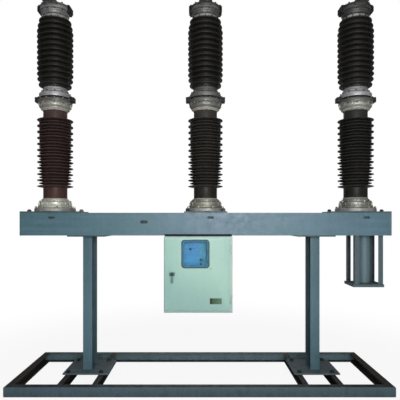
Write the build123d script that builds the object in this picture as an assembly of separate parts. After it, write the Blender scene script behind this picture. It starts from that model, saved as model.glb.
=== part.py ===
from build123d import *
import os

# Three-pole live-tank circuit breaker on a common beam, with its drive cabinet
# and its floor frame.  All sizes in millimetres.
# X runs along the beam, Y from front (-) to back (+), Z up.  The origin is on
# the floor, under the middle of the beam and of the floor frame's depth.

# ---------------------------------------------------------------- driving sizes
POLE_PITCH = 1300.0            # distance between neighbouring poles
POLES = {"left": -POLE_PITCH, "middle": 0.0, "right": POLE_PITCH}

FRAME_X0, FRAME_X1 = -1550.0, 1450.0   # outside ends of the floor frame
FRAME_D = 910.0                # floor frame, front face to back face
FRAME_H = 80.0                 # height of all floor channels
FRAME_B = 60.0                 # flange width of the four outer channels
CROSS_B = 43.0                 # flange width of the four cross channels
CH_T = 5.0                     # sheet thickness of all floor channels

LEG_X = {"left": -998.0, "right": 926.0}
CROSS_X = {"left": -1004.0, "right": 916.0}   # middle of each pair of cross channels
CROSS_OFFSET = 136.0           # cross channel axis, each side of the pair's middle
FOOT_X = {"left": -993.0, "right": 921.0}    # middle of each foot plate
FOOT_W, FOOT_T = 376.0, 12.0   # square plate under each leg
LEG_W, LEG_D = 78.0, 180.0     # I-section: flange width, depth front to back
LEG_TF, LEG_TW = 10.0, 7.0     # flange and web thickness
HEAD_W, HEAD_T = 314.0, 10.0   # plate between leg and beam

BEAM_L, BEAM_D, BEAM_H = 3100.0, 300.0, 190.0
BEAM_T = 8.0                   # beam wall
BEAM_END_T = 10.0              # end plates
BEAM_Z = 1228.0                # underside of the beam
SLOT_X = (-1285.0, 40.0, 1341.0)   # oval slots, one to the right of each pole axis
SLOT_W, SLOT_H, SLOT_Z = 55.0, 20.0, 1378.0
LONG_SLOT_X, LONG_SLOT_W, LONG_SLOT_H, LONG_SLOT_Z = -514.0, 66.0, 26.0, 1341.0

POLE_PLATE_T = 12.0
POLE_PLATE_W = {"left": 500.0, "middle": 361.0, "right": 500.0}

BASE_TOP_Z = 1537.0            # top of the lower casting, foot of the support insulator
SUP_SHEDS, SUP_PITCH, SUP_FIRST_Z = 12, 51.6, 1648.0
SUP_CORE_R, SUP_BIG_R, SUP_SMALL_R = 100.0, 150.0, 134.0
SUP_TOP_Z = 2297.0
MID_TOP_Z = 2492.0             # top of the middle casting, foot of the upper insulator
INT_PITCH, INT_FIRST_Z = 45.5, 2519.0
INT_SHED_R = [137.0, 148.0, 151.0] + [151.0] * 7 + [151.0, 145.0, 135.0]   # barrel-shaped stack, foot to top
INT_CORE_R = 112.0
INT_TOP_Z = 3081.0             # top of the upper insulator, foot of the top cap

PAD_W, PAD_T = 110.0, 18.0     # flat line terminals
PAD_REACH = 210.0              # from the pole axis to the pad's free end
PAD_HOLE_R, PAD_HOLE_PITCH = 7.0, 44.0
PAD_HOLE_Y = 171.0             # centre of the hole pattern from the pole axis
TOP_PAD_Z = 3174.0             # underside of the upper terminal
LOW_PAD_Z = 2385.0             # underside of the lower terminal

SPRING_X = 1371.0              # centre of the opening spring's bracket
SPRING_W = 238.0
SPRING_Y0, SPRING_Y1 = -120.0, 100.0        # outer faces of the four posts
TRAY_X0, TRAY_X1, TRAY_Y0, TRAY_Y1 = 1237.0, 1497.0, -127.0, 105.0
SPRING_Z0, SPRING_TRAY_H = 794.0, 24.0
ANGLE_B, ANGLE_T = 40.0, 5.0
SPRING_TUBE_R, SPRING_TUBE_T = 49.0, 5.0

CAB_X0, CAB_X1 = -341.5, 218.5
CAB_Y0, CAB_Y1 = -228.0, 225.0
CAB_Z0, CAB_Z1 = 600.0, 1222.0
CAB_T = 3.0
DOOR_X0, DOOR_X1 = -334.0, 194.5
DOOR_Z0, DOOR_Z1 = 622.0, 1214.0
DOOR_Y0, DOOR_Y1 = -251.0, -233.0
DOOR_T = 2.5
WIN_X, WIN_Z = -84.0, 1082.0   # centre of the window
WIN_W, WIN_H = 229.0, 232.0    # outside of the rubber frame
HINGE_X, HINGE_Y, HINGE_R = 203.0, -242.0, 6.0
HINGE_Z = (712.0, 1120.0)
LOCK_X, LOCK_Z = -273.0, 920.0

OUT = "parts"
os.makedirs(OUT, exist_ok=True)


# ---------------------------------------------------------------- helpers
def block(x0, x1, y0, y1, z0, z1):
    """Solid block between two corners."""
    return Pos((x0 + x1) / 2, (y0 + y1) / 2, (z0 + z1) / 2) * Box(x1 - x0, y1 - y0, z1 - z0)


def prism(points, z0, z1):
    """Upright prism over a plan outline."""
    face = make_face(Polyline(*[(x, y) for x, y in points], close=True))
    return Pos(0, 0, z0) * extrude(face, z1 - z0)


def turned(profile, x=0.0, y=0.0):
    """Solid of revolution about an upright axis; profile is (radius, z)."""
    pts = [(0.0, 0.0, profile[0][1])] + [(r, 0.0, z) for r, z in profile] + [(0.0, 0.0, profile[-1][1])]
    clean = [pts[0]]
    for p in pts[1:]:
        if p != clean[-1]:
            clean.append(p)
    face = make_face(Polyline(*clean, close=True))
    return Pos(x, y, 0) * revolve(face, Axis.Z, 360)


def rod_y(x, z, r, y0, y1):
    """Round bar along Y."""
    return Pos(x, (y0 + y1) / 2, z) * Rot(90, 0, 0) * Cylinder(r, y1 - y0)


def rod_z(x, y, r, z0, z1):
    """Round bar along Z."""
    return Pos(x, y, (z0 + z1) / 2) * Cylinder(r, z1 - z0)


def slot_y(x, z, w, h, y0, y1):
    """Oval bar along Y: straight sides, round ends."""
    s = block(x - w / 2 + h / 2, x + w / 2 - h / 2, y0, y1, z - h / 2, z + h / 2)
    return s + rod_y(x - w / 2 + h / 2, z, h / 2, y0, y1) + rod_y(x + w / 2 - h / 2, z, h / 2, y0, y1)


def rounded_y(x, z, w, h, r, y0, y1):
    """Block along Y with rounded upright corners in the XZ plane."""
    b = block(x - w / 2, x + w / 2, y0, y1, z - h / 2, z + h / 2)
    return fillet(b.edges().filter_by(Axis.Y), r)


def save(name, shape):
    if isinstance(shape, (list, tuple)):
        shape = Compound(children=[s for s in shape])
    export_step(shape, OUT + "/" + name + ".step")


# ---------------------------------------------------------------- floor frame
YF, YB = -FRAME_D / 2, FRAME_D / 2
X0, X1, H, B, T = FRAME_X0, FRAME_X1, FRAME_H, FRAME_B, CH_T


def channel_x(y_web, inward):
    """Outer channel along X, open towards the middle, mitred at both ends."""
    ya, yb = sorted((y_web, y_web + inward * B))
    ci, cj = sorted((y_web + inward * T, y_web + inward * (B + 1)))
    c = block(X0, X1, ya, yb, 0, H) - block(X0 - 1, X1 + 1, ci, cj, T, H - T)
    yi = y_web + inward * B
    return c & prism([(X0, y_web), (X1, y_web), (X1 - B, yi), (X0 + B, yi)], -1, H + 1)


def channel_y(x_web, inward):
    """Outer channel along Y, open towards the middle, mitred at both ends."""
    xa, xb = sorted((x_web, x_web + inward * B))
    ci, cj = sorted((x_web + inward * T, x_web + inward * (B + 1)))
    c = block(xa, xb, YF, YB, 0, H) - block(ci, cj, YF - 1, YB + 1, T, H - T)
    xi = x_web + inward * B
    return c & prism([(x_web, YF), (x_web, YB), (xi, YB - B), (xi, YF + B)], -1, H + 1)


save("front_channel", channel_x(YF, 1))
save("rear_channel", channel_x(YB, -1))
save("left_end_channel", channel_y(X0, 1))
save("right_end_channel", channel_y(X1, -1))

for side, xl in CROSS_X.items():
    open_to = 1 if xl < 0 else -1          # open side towards the middle of the frame
    pair = []
    for dx in (-CROSS_OFFSET, CROSS_OFFSET):
        xc = xl + dx
        c = block(xc - CROSS_B / 2, xc + CROSS_B / 2, YF + B, YB - B, 0, H)
        xw = xc - open_to * CROSS_B / 2
        a, b = sorted((xw + open_to * T, xw + open_to * (CROSS_B + 1)))
        pair.append(c - block(a, b, YF, YB, T, H - T))
    save(side + "_cross_channels", pair)

# ---------------------------------------------------------------- legs
LEG_Z0 = FRAME_H + FOOT_T
LEG_Z1 = BEAM_Z - HEAD_T
feet, heads = [], []
for side, xl in LEG_X.items():
    xf = FOOT_X[side]
    feet.append(block(xf - FOOT_W / 2, xf + FOOT_W / 2, -FOOT_W / 2, FOOT_W / 2, FRAME_H, LEG_Z0))
    heads.append(block(xl - HEAD_W / 2, xl + HEAD_W / 2, -BEAM_D / 2, BEAM_D / 2, LEG_Z1, BEAM_Z))
    leg = block(xl - LEG_W / 2, xl + LEG_W / 2, -LEG_D / 2, -LEG_D / 2 + LEG_TF, LEG_Z0, LEG_Z1)
    leg += block(xl - LEG_W / 2, xl + LEG_W / 2, LEG_D / 2 - LEG_TF, LEG_D / 2, LEG_Z0, LEG_Z1)
    leg += block(xl - LEG_TW / 2, xl + LEG_TW / 2, -LEG_D / 2 + LEG_TF, LEG_D / 2 - LEG_TF, LEG_Z0, LEG_Z1)
    save(side + "_leg", leg)
save("foot_plates", feet)
save("leg_head_plates", heads)

# ---------------------------------------------------------------- beam
BZ0, BZ1 = BEAM_Z, BEAM_Z + BEAM_H
BX = BEAM_L / 2 - BEAM_END_T
beam = block(-BX, BX, -BEAM_D / 2, BEAM_D / 2, BZ0, BZ1)
beam -= block(-BX - 1, BX + 1, -BEAM_D / 2 + BEAM_T, BEAM_D / 2 - BEAM_T, BZ0 + BEAM_T, BZ1 - BEAM_T)
for xs in SLOT_X:
    beam -= slot_y(xs, SLOT_Z, SLOT_W, SLOT_H, -BEAM_D / 2 - 1, -BEAM_D / 2 + BEAM_T + 1)
beam -= slot_y(LONG_SLOT_X, LONG_SLOT_Z, LONG_SLOT_W, LONG_SLOT_H, -BEAM_D / 2 - 1, -BEAM_D / 2 + BEAM_T + 1)
save("crossbeam", beam)
save("beam_end_plates", [
    block(-BEAM_L / 2, -BX, -BEAM_D / 2, BEAM_D / 2, BZ0, BZ1),
    block(BX, BEAM_L / 2, -BEAM_D / 2, BEAM_D / 2, BZ0, BZ1)])

# ---------------------------------------------------------------- poles
PZ0 = BZ1 + POLE_PLATE_T


def pole_base(x):
    """Lower casting: stepped round foot and the collar that holds the insulator."""
    return turned([(172, PZ0), (172, PZ0 + 15), (170, PZ0 + 29), (143, PZ0 + 34), (143, PZ0 + 50),
                   (134.5, PZ0 + 53), (134.5, PZ0 + 81), (117, PZ0 + 85), (117, PZ0 + 101), (112, BASE_TOP_Z)], x)


def support_insulator(x):
    p = [(SUP_CORE_R, BASE_TOP_Z)]
    for i in range(SUP_SHEDS):
        z = SUP_FIRST_Z + i * SUP_PITCH
        p += [(SUP_CORE_R, z - 14), (SUP_BIG_R, z - 4), (SUP_BIG_R, z + 2), (SUP_CORE_R, z + 12)]
        if i < SUP_SHEDS - 1:
            s = z + SUP_PITCH / 2
            p += [(SUP_CORE_R, s - 12), (SUP_SMALL_R, s - 4), (SUP_SMALL_R, s + 2), (SUP_CORE_R, s + 10)]
    p += [(SUP_CORE_R, SUP_TOP_Z)]
    return turned(p, x)


def line_pad(x, z0, direction):
    """Flat terminal with four bolt holes, reaching out from the pole axis."""
    ya, yb = sorted((direction * 60.0, direction * PAD_REACH))
    pad = block(x - PAD_W / 2, x + PAD_W / 2, ya, yb, z0, z0 + PAD_T)
    for dx in (-1, 1):
        for dy in (-1, 1):
            pad -= rod_z(x + dx * PAD_HOLE_PITCH / 2, direction * PAD_HOLE_Y + dy * PAD_HOLE_PITCH / 2,
                         PAD_HOLE_R, z0 - 1, z0 + PAD_T + 1)
    return pad


def middle_casting(x):
    m = turned([(101, SUP_TOP_Z), (120, 2307), (125, 2320), (134, 2329), (134, 2353), (143, 2357), (143, 2385),
                (122, 2387), (122, 2403), (134, 2405), (134, 2439), (124, 2446), (112, 2450), (112, 2465),
                (99, 2470), (99, MID_TOP_Z)], x)
    m += block(x - 169, x + 169, -32, 32, 2372, 2416)
    return m + line_pad(x, LOW_PAD_Z, 1)


def upper_insulator(x):
    p = [(INT_CORE_R, MID_TOP_Z)]
    for i, r in enumerate(INT_SHED_R):
        z = INT_FIRST_Z + i * INT_PITCH
        p += [(INT_CORE_R, z - 12), (r, z - 4), (r, z + 3), (INT_CORE_R, z + 12)]
    return turned(p, x)


def top_cap(x):
    c = turned([(100, INT_TOP_Z), (103, 3084), (103, 3106), (114, 3112), (116, 3128), (120, 3131), (120, 3148),
                (127, 3150), (127, 3174), (118, 3176), (118, 3184), (127, 3186), (127, 3195),
                (112, 3201), (88, 3213), (60, 3216)], x)
    c += block(x - 134, x + 134, -26, 26, 3138, 3202) + block(x - 142, x + 142, -26, 26, 3152, 3188)
    return c + line_pad(x, TOP_PAD_Z, -1)


for side, xp in POLES.items():
    w = POLE_PLATE_W[side]
    save(side + "_pole_plate", block(xp - w / 2, xp + w / 2, -BEAM_D / 2, BEAM_D / 2, BZ1, PZ0))
    save(side + "_pole_base", pole_base(xp))
    save(side + "_support_insulator", support_insulator(xp))
    save(side + "_middle_casting", middle_casting(xp))
    save(side + "_upper_insulator", upper_insulator(xp))
    save(side + "_top_cap", top_cap(xp))

# ---------------------------------------------------------------- opening spring
SX0, SX1 = SPRING_X - SPRING_W / 2, SPRING_X + SPRING_W / 2
SY0, SY1 = SPRING_Y0, SPRING_Y1
SZ1 = SPRING_Z0 + SPRING_TRAY_H
posts = []
for x, ix in ((SX0, 1), (SX1, -1)):
    for y, iy in ((SY0, 1), (SY1, -1)):
        xa, xb = sorted((x, x + ix * ANGLE_B))
        ya, yb = sorted((y, y + iy * ANGLE_B))
        xc, xd = sorted((x + ix * ANGLE_T, x + ix * (ANGLE_B + 1)))
        yc, yd = sorted((y + iy * ANGLE_T, y + iy * (ANGLE_B + 1)))
        posts.append(block(xa, xb, ya, yb, SZ1, BEAM_Z) - block(xc, xd, yc, yd, SZ1 - 1, BEAM_Z + 1))
save("spring_bracket_posts", posts)
save("spring_bracket_tray", block(TRAY_X0, TRAY_X1, TRAY_Y0, TRAY_Y1, SPRING_Z0, SZ1)
     - block(TRAY_X0 + 6, TRAY_X1 - 6, TRAY_Y0 + 6, TRAY_Y1 - 6, SPRING_Z0 - 1, SZ1 - 8))
save("spring_tube", rod_z(SPRING_X, 0, SPRING_TUBE_R, SZ1, BEAM_Z)
     - rod_z(SPRING_X, 0, SPRING_TUBE_R - SPRING_TUBE_T, SZ1 - 1, BEAM_Z + 1))

# ---------------------------------------------------------------- cabinet
# packing strip between the cabinet's roof and the beam, with a lip up the beam's front
save("cabinet_top_gasket", block(CAB_X0, CAB_X1, -BEAM_D / 2 - 3, BEAM_D / 2, CAB_Z1, BEAM_Z)
     + block(CAB_X0, CAB_X1, -BEAM_D / 2 - 3, -BEAM_D / 2, BEAM_Z, BEAM_Z + 12))
shell = block(CAB_X0, CAB_X1, CAB_Y0, CAB_Y1, CAB_Z0, CAB_Z1)
shell -= block(CAB_X0 + CAB_T, CAB_X1 - CAB_T, CAB_Y0 + CAB_T, CAB_Y1 - CAB_T, CAB_Z0 + CAB_T, CAB_Z1 - CAB_T)
shell -= block(CAB_X0 + 30, CAB_X1 - 45, CAB_Y0 - 1, CAB_Y0 + CAB_T + 1, CAB_Z0 + 35, CAB_Z1 - 25)
save("cabinet_shell", shell)
save("instrument_panel", block(CAB_X0 + CAB_T, CAB_X1 - CAB_T, -192, -188, 880, CAB_Z1 - CAB_T))

# door: folded sheet tray, open to the inside, with the window cut through it
door = block(DOOR_X0, DOOR_X1, DOOR_Y0, DOOR_Y1, DOOR_Z0, DOOR_Z1)
door -= block(DOOR_X0 + DOOR_T, DOOR_X1 - DOOR_T, DOOR_Y0 + DOOR_T, DOOR_Y1 + 1, DOOR_Z0 + DOOR_T, DOOR_Z1 - DOOR_T)
door -= rounded_y(WIN_X, WIN_Z, WIN_W - 24, WIN_H - 24, 22, DOOR_Y0 - 1, DOOR_Y0 + DOOR_T + 1)
save("cabinet_door", door)

gasket = rounded_y(WIN_X, WIN_Z, WIN_W, WIN_H, 32, DOOR_Y0 - 5, DOOR_Y0)
gasket += rounded_y(WIN_X, WIN_Z, WIN_W - 24, WIN_H - 24, 22, DOOR_Y0, DOOR_Y0 + 10)
gasket -= rounded_y(WIN_X, WIN_Z, WIN_W - 40, WIN_H - 40, 16, DOOR_Y0 - 6, DOOR_Y0 + 11)
save("window_gasket", gasket)
save("window_glass", rounded_y(WIN_X, WIN_Z, WIN_W - 40, WIN_H - 40, 16, DOOR_Y0 + 1, DOOR_Y0 + 6))

# hinges: fixed leaf with pin on the cabinet, loose knuckle on the door
leaves, knuckles = [], []
for z in HINGE_Z:
    leaf = block(HINGE_X - 6, HINGE_X + 13, CAB_Y0 - 3, CAB_Y0, z - 30, z - 1)
    leaf += block(HINGE_X - 2.5, HINGE_X + 2.5, HINGE_Y, CAB_Y0 - 1, z - 30, z - 1)
    leaf += rod_z(HINGE_X, HINGE_Y, HINGE_R, z - 30, z - 1)
    leaf += rod_z(HINGE_X, HINGE_Y, 3.0, z - 2, z + 26)
    leaves.append(leaf)
    k = rod_z(HINGE_X, HINGE_Y, HINGE_R, z, z + 30)
    k += block(DOOR_X1, HINGE_X, HINGE_Y - 4, HINGE_Y + 4, z, z + 30)
    k -= rod_z(HINGE_X, HINGE_Y, 3.05, z - 1, z + 27)
    knuckles.append(k)
save("cabinet_hinge_leaves", leaves)
save("door_hinge_knuckles", knuckles)

# quarter-turn lock: round body on the door, and the swing handle in front of it
save("lock_body", rod_y(LOCK_X, LOCK_Z, 15, DOOR_Y0 - 8, DOOR_Y0)
     - rod_y(LOCK_X, LOCK_Z, 4.05, DOOR_Y0 - 9, DOOR_Y0 - 1))
handle = rounded_y(LOCK_X, LOCK_Z, 42, 28, 8, DOOR_Y0 - 22, DOOR_Y0 - 8.5)
handle += rounded_y(LOCK_X, LOCK_Z - 38, 18, 72, 8, DOOR_Y0 - 22, DOOR_Y0 - 12)
handle += rod_y(LOCK_X, LOCK_Z, 4.0, DOOR_Y0 - 10, DOOR_Y0 - 2)     # spindle in the lock body
save("lock_handle", handle)

save("nameplate", block(31, 131, DOOR_Y0 - 2, DOOR_Y0, 674, 725))
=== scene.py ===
import bpy
import bmesh
import math
import random
from mathutils import Matrix, Vector
from mathutils.geometry import tessellate_polygon


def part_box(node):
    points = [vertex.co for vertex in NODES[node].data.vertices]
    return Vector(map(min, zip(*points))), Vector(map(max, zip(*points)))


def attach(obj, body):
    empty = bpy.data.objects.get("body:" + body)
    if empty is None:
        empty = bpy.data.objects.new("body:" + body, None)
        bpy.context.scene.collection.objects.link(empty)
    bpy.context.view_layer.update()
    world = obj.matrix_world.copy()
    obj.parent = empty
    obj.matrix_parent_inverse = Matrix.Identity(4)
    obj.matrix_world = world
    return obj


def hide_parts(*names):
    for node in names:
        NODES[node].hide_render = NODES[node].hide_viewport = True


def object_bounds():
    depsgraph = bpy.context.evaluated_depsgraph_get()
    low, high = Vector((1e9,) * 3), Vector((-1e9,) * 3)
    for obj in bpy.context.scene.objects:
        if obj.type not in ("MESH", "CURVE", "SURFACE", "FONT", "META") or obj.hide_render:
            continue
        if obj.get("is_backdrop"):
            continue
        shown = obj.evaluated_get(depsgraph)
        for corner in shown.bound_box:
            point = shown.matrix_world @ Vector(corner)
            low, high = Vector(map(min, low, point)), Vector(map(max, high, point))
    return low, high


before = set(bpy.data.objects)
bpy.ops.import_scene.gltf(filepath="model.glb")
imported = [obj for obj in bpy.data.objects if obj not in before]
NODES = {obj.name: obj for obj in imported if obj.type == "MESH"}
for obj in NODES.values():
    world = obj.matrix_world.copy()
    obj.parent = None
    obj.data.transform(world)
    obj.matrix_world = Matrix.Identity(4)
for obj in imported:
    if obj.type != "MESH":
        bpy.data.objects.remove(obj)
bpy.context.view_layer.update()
MM = 0.001
SIDES = ("left", "middle", "right")


def centre_x(node):
    lo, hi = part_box(node)
    return (lo.x + hi.x) * 500.0


POLE_X = {s: centre_x(s + "_support_insulator") for s in SIDES}

# ----------------------------------------------------------------------------
# camera
# ----------------------------------------------------------------------------
cam_data = bpy.data.cameras.new("camera")
cam = bpy.data.objects.new("camera", cam_data)
bpy.context.scene.collection.objects.link(cam)
cam.location = (-0.047, -3.813, 1.345)
cam.rotation_euler = (math.radians(90), 0, 0)
cam_data.sensor_width = 36.0
cam_data.lens = 39.6
cam_data.shift_x = 0.0
cam_data.shift_y = 0.05375
cam_data.clip_start = 0.05
cam_data.clip_end = 200
bpy.context.scene.camera = cam


# ----------------------------------------------------------------------------
# node helpers
# ----------------------------------------------------------------------------
def lin(r, g, b, a=1.0):
    """8-bit display colour to scene colour."""
    def f(c):
        c /= 255.0
        return c / 12.92 if c <= 0.04045 else ((c + 0.055) / 1.055) ** 2.4
    return (f(r), f(g), f(b), a)


def node(nt, kind, inputs=None, **attrs):
    n = nt.nodes.new(kind)
    for k, v in attrs.items():
        setattr(n, k, v)
    for k, v in (inputs or {}).items():
        if isinstance(v, bpy.types.NodeSocket):
            nt.links.new(v, n.inputs[k])
        else:
            n.inputs[k].default_value = v
    return n


def mix(nt, fac, a, b, blend="MIX"):
    n = nt.nodes.new("ShaderNodeMix")
    n.data_type = "RGBA"
    n.blend_type = blend
    n.clamp_factor = True
    for i, v in ((0, fac), (6, a), (7, b)):
        if isinstance(v, bpy.types.NodeSocket):
            nt.links.new(v, n.inputs[i])
        else:
            n.inputs[i].default_value = v
    return n.outputs[2]


def math_node(nt, op, a, b=0.0, clamp=False):
    n = nt.nodes.new("ShaderNodeMath")
    n.operation = op
    n.use_clamp = clamp
    for i, v in ((0, a), (1, b)):
        if isinstance(v, bpy.types.NodeSocket):
            nt.links.new(v, n.inputs[i])
        else:
            n.inputs[i].default_value = v
    return n.outputs[0]


def remap(nt, v, a, b, c=0.0, d=1.0, smooth=True):
    n = node(nt, "ShaderNodeMapRange", {"Value": v, "From Min": a, "From Max": b, "To Min": c, "To Max": d})
    n.interpolation_type = "SMOOTHSTEP" if smooth else "LINEAR"
    return n.outputs[0]


def noise(nt, coord, scale, detail=3.0, rough=0.55, stretch=None, offset=(0, 0, 0), distortion=0.0):
    if stretch is not None or any(offset):
        mp = node(nt, "ShaderNodeMapping", {"Vector": coord, "Scale": stretch or (1, 1, 1), "Location": offset})
        coord = mp.outputs[0]
    n = node(nt, "ShaderNodeTexNoise", {"Vector": coord, "Scale": scale, "Detail": detail, "Roughness": rough,
                                        "Distortion": distortion})
    return n.outputs[0]


def new_material(name):
    m = bpy.data.materials.new(name)
    m.use_nodes = True
    nt = m.node_tree
    nt.nodes.clear()
    out = nt.nodes.new("ShaderNodeOutputMaterial")
    b = nt.nodes.new("ShaderNodeBsdfPrincipled")
    nt.links.new(b.outputs[0], out.inputs[0])
    return m, nt, b


def cavity(nt):
    return node(nt, "ShaderNodeAttribute", attribute_name="cavity", attribute_type="GEOMETRY").outputs["Fac"]


def paint(name, base, alt, rough=0.42, streak=0.12, dirt=lin(52, 44, 36), up=0.0, low=None, chips=0.0,
          spec=0.5, peel=0.12, chip_colour=lin(70, 50, 40), patch=1.1, grime=0.25, end_shade_and_tint=None, slope=None, inner_shade_and_dirt=None,
          grain=0.10, wipe=None):
    """Sprayed steel paint: slow colour drift, streaks, upward faces pulled towards the dirt colour, chips and orange
    peel.
    """
    m, nt, b = new_material(name)
    tc = node(nt, "ShaderNodeTexCoord")
    obj, nrm = tc.outputs["Object"], tc.outputs["Normal"]
    drift = remap(nt, noise(nt, obj, patch, 3, 0.6), 0.36, 0.64)
    col = mix(nt, drift, base, alt)
    if end_shade_and_tint is not None:
        # painted shade: the coat darkens and turns greener towards the two ends, standing in for the light falling off
        # along the beam
        colour, x_mid, x_near, x_far, most = end_shade_and_tint
        x = node(nt, "ShaderNodeSeparateXYZ", {"Vector": obj}).outputs[0]
        away = math_node(nt, "ABSOLUTE", math_node(nt, "SUBTRACT", x, x_mid))
        ragged = math_node(nt, "ADD", away, remap(nt, noise(nt, obj, 2.6, 3, 0.6, offset=(4, 1, 6)), 0.3, 0.7, -0.16, 0.16))
        col = mix(nt, remap(nt, ragged, x_near, x_far, 0.0, most), col, colour)
    if slope is not None:
        # coat colour shifts across the surface along a slanted line
        colour, gx, gz, a, bb, most = slope
        sp = node(nt, "ShaderNodeSeparateXYZ", {"Vector": obj})
        lean = math_node(nt, "ADD", math_node(nt, "MULTIPLY", sp.outputs[0], gx), math_node(nt, "MULTIPLY", sp.outputs[2], gz))
        col = mix(nt, remap(nt, lean, a, bb, 0.0, most), col, colour)
    if inner_shade_and_dirt is not None:
        # painted shade with some dirt: the inner faces of an open section, inside a box round x_mid, are darkened where
        # flanges and nearby parts shade them
        colour, x_mid, half_x, half_y, most = inner_shade_and_dirt
        sp = node(nt, "ShaderNodeSeparateXYZ", {"Vector": obj})
        dx = math_node(nt, "ABSOLUTE", math_node(nt, "SUBTRACT", sp.outputs[0], x_mid))
        dy = math_node(nt, "ABSOLUTE", sp.outputs[1])
        inner_shade_zone = math_node(nt, "MULTIPLY", math_node(nt, "LESS_THAN", dx, half_x), math_node(nt, "LESS_THAN", dy, half_y))
        spread = remap(nt, noise(nt, obj, 9, 4, 0.6, offset=(5, 3, 8)), 0.3, 0.65, 0.75, 1.0)
        col = mix(nt, math_node(nt, "MULTIPLY", math_node(nt, "MULTIPLY", inner_shade_zone, spread), most), col, colour)
    if wipe is not None:
        # faint long streaks along a level member
        colour, most = wipe
        long = remap(nt, noise(nt, obj, 1.0, 3, 0.55, stretch=(1.3, 20, 30), offset=(2, 6, 3)), 0.46, 0.66, 0.0, most)
        col = mix(nt, long, col, colour)
    runs = remap(nt, noise(nt, obj, 1.0, 4, 0.6, stretch=(38, 38, 1.7)), 0.42, 0.72, 0.0, streak)
    col = mix(nt, runs, col, dirt)
    fine = remap(nt, noise(nt, obj, 55, 5, 0.65), 0.3, 0.7, -0.5, 0.5)
    value = node(nt, "ShaderNodeHueSaturation", {"Color": col, "Value": math_node(nt, "MULTIPLY_ADD", fine, grain)})
    value.inputs["Value"].links[0].from_node.inputs[2].default_value = 1.0
    col = value.outputs[0]
    # grey film of handling and weather
    film = remap(nt, noise(nt, obj, 7.5, 6, 0.7, offset=(3.1, 1.7, 0.4)), 0.5, 0.78, 0.0, grime)
    col = mix(nt, film, col, dirt)
    if up:
        nz = node(nt, "ShaderNodeSeparateXYZ", {"Vector": nrm}).outputs[2]
        top = remap(nt, nz, 0.55, 0.95)
        spread = remap(nt, noise(nt, obj, 16, 6, 0.7), 0.25, 0.6, 0.35, 1.0)
        amount = math_node(nt, "MULTIPLY", math_node(nt, "MULTIPLY", top, spread), up, clamp=True)
        col = mix(nt, amount, col, dirt)
    if low is not None:
        z = node(nt, "ShaderNodeSeparateXYZ", {"Vector": obj}).outputs[2]
        splash = remap(nt, z, low, 0.0, 0.0, 1.0)
        n = remap(nt, noise(nt, obj, 30, 6, 0.75), 0.35, 0.7)
        col = mix(nt, math_node(nt, "MULTIPLY", math_node(nt, "MULTIPLY", splash, n), 0.5), col, dirt)
    rough_v = remap(nt, noise(nt, obj, 22, 4, 0.6), 0.3, 0.7, rough - 0.07, rough + 0.1)
    if chips:
        c = noise(nt, obj, 95, 4, 0.55, offset=(0.7, 2.3, 5.0))
        zone = remap(nt, noise(nt, obj, 5.5, 3, 0.6, offset=(9, 4, 2)), 0.5, 0.68)
        chip = math_node(nt, "MULTIPLY", remap(nt, c, 0.66 - chips * 0.08, 0.7 - chips * 0.08), zone, clamp=True)
        col = mix(nt, chip, col, chip_colour)
        rough_v = math_node(nt, "ADD", rough_v, math_node(nt, "MULTIPLY", chip, 0.25))
    nt.links.new(col, b.inputs["Base Color"])
    nt.links.new(rough_v, b.inputs["Roughness"])
    b.inputs["Specular IOR Level"].default_value = spec
    bump1 = node(nt, "ShaderNodeBump", {"Height": noise(nt, obj, 420, 2, 0.5), "Strength": peel, "Distance": 0.0006})
    bump2 = node(nt, "ShaderNodeBump", {"Height": noise(nt, obj, 9, 3, 0.5), "Strength": 0.12, "Distance": 0.004,
                                        "Normal": bump1.outputs[0]})
    nt.links.new(bump2.outputs[0], b.inputs["Normal"])
    return m


def porcelain(name, dark, light, dust=0.25, gloss=(0.42, 0.56), coat=0.05):
    """Glazed porcelain: deep colour, a hard clear glaze, thin dust where it settles."""
    m, nt, b = new_material(name)
    tc = node(nt, "ShaderNodeTexCoord")
    obj, nrm = tc.outputs["Object"], tc.outputs["Normal"]
    flow = remap(nt, noise(nt, obj, 14, 4, 0.6, stretch=(1, 1, 0.35)), 0.3, 0.7)
    col = mix(nt, flow, dark, light)
    speck = remap(nt, noise(nt, obj, 160, 3, 0.6), 0.58, 0.7, 0.0, 0.35)
    col = mix(nt, speck, col, dark)
    nz = node(nt, "ShaderNodeSeparateXYZ", {"Vector": nrm}).outputs[2]
    lying = remap(nt, nz, 0.25, 0.9)
    patchy = remap(nt, noise(nt, obj, 24, 5, 0.7), 0.3, 0.7, 0.4, 1.0)
    amount = math_node(nt, "MULTIPLY", math_node(nt, "MULTIPLY", lying, patchy), dust, clamp=True)
    # painted shade with some dirt: concave corners, such as the roots between sheds, are darkened towards near black
    crease_dirt_and_shade = math_node(nt, "MULTIPLY", cavity(nt), 0.35, clamp=True)
    col = mix(nt, amount, col, lin(104, 98, 88))
    col = mix(nt, crease_dirt_and_shade, col, lin(24, 20, 17))
    nt.links.new(col, b.inputs["Base Color"])
    r = math_node(nt, "ADD", remap(nt, noise(nt, obj, 40, 4, 0.6), 0.3, 0.7, gloss[0], gloss[1]),
                  math_node(nt, "MULTIPLY", amount, 0.4))
    nt.links.new(r, b.inputs["Roughness"])
    b.inputs["IOR"].default_value = 1.52
    b.inputs["Specular IOR Level"].default_value = 0.22
    b.inputs["Coat Weight"].default_value = coat
    b.inputs["Coat Roughness"].default_value = 0.28
    wave = node(nt, "ShaderNodeBump", {"Height": noise(nt, obj, 60, 2, 0.5), "Strength": 0.1, "Distance": 0.0012})
    nt.links.new(wave.outputs[0], b.inputs["Normal"])
    return m


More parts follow.
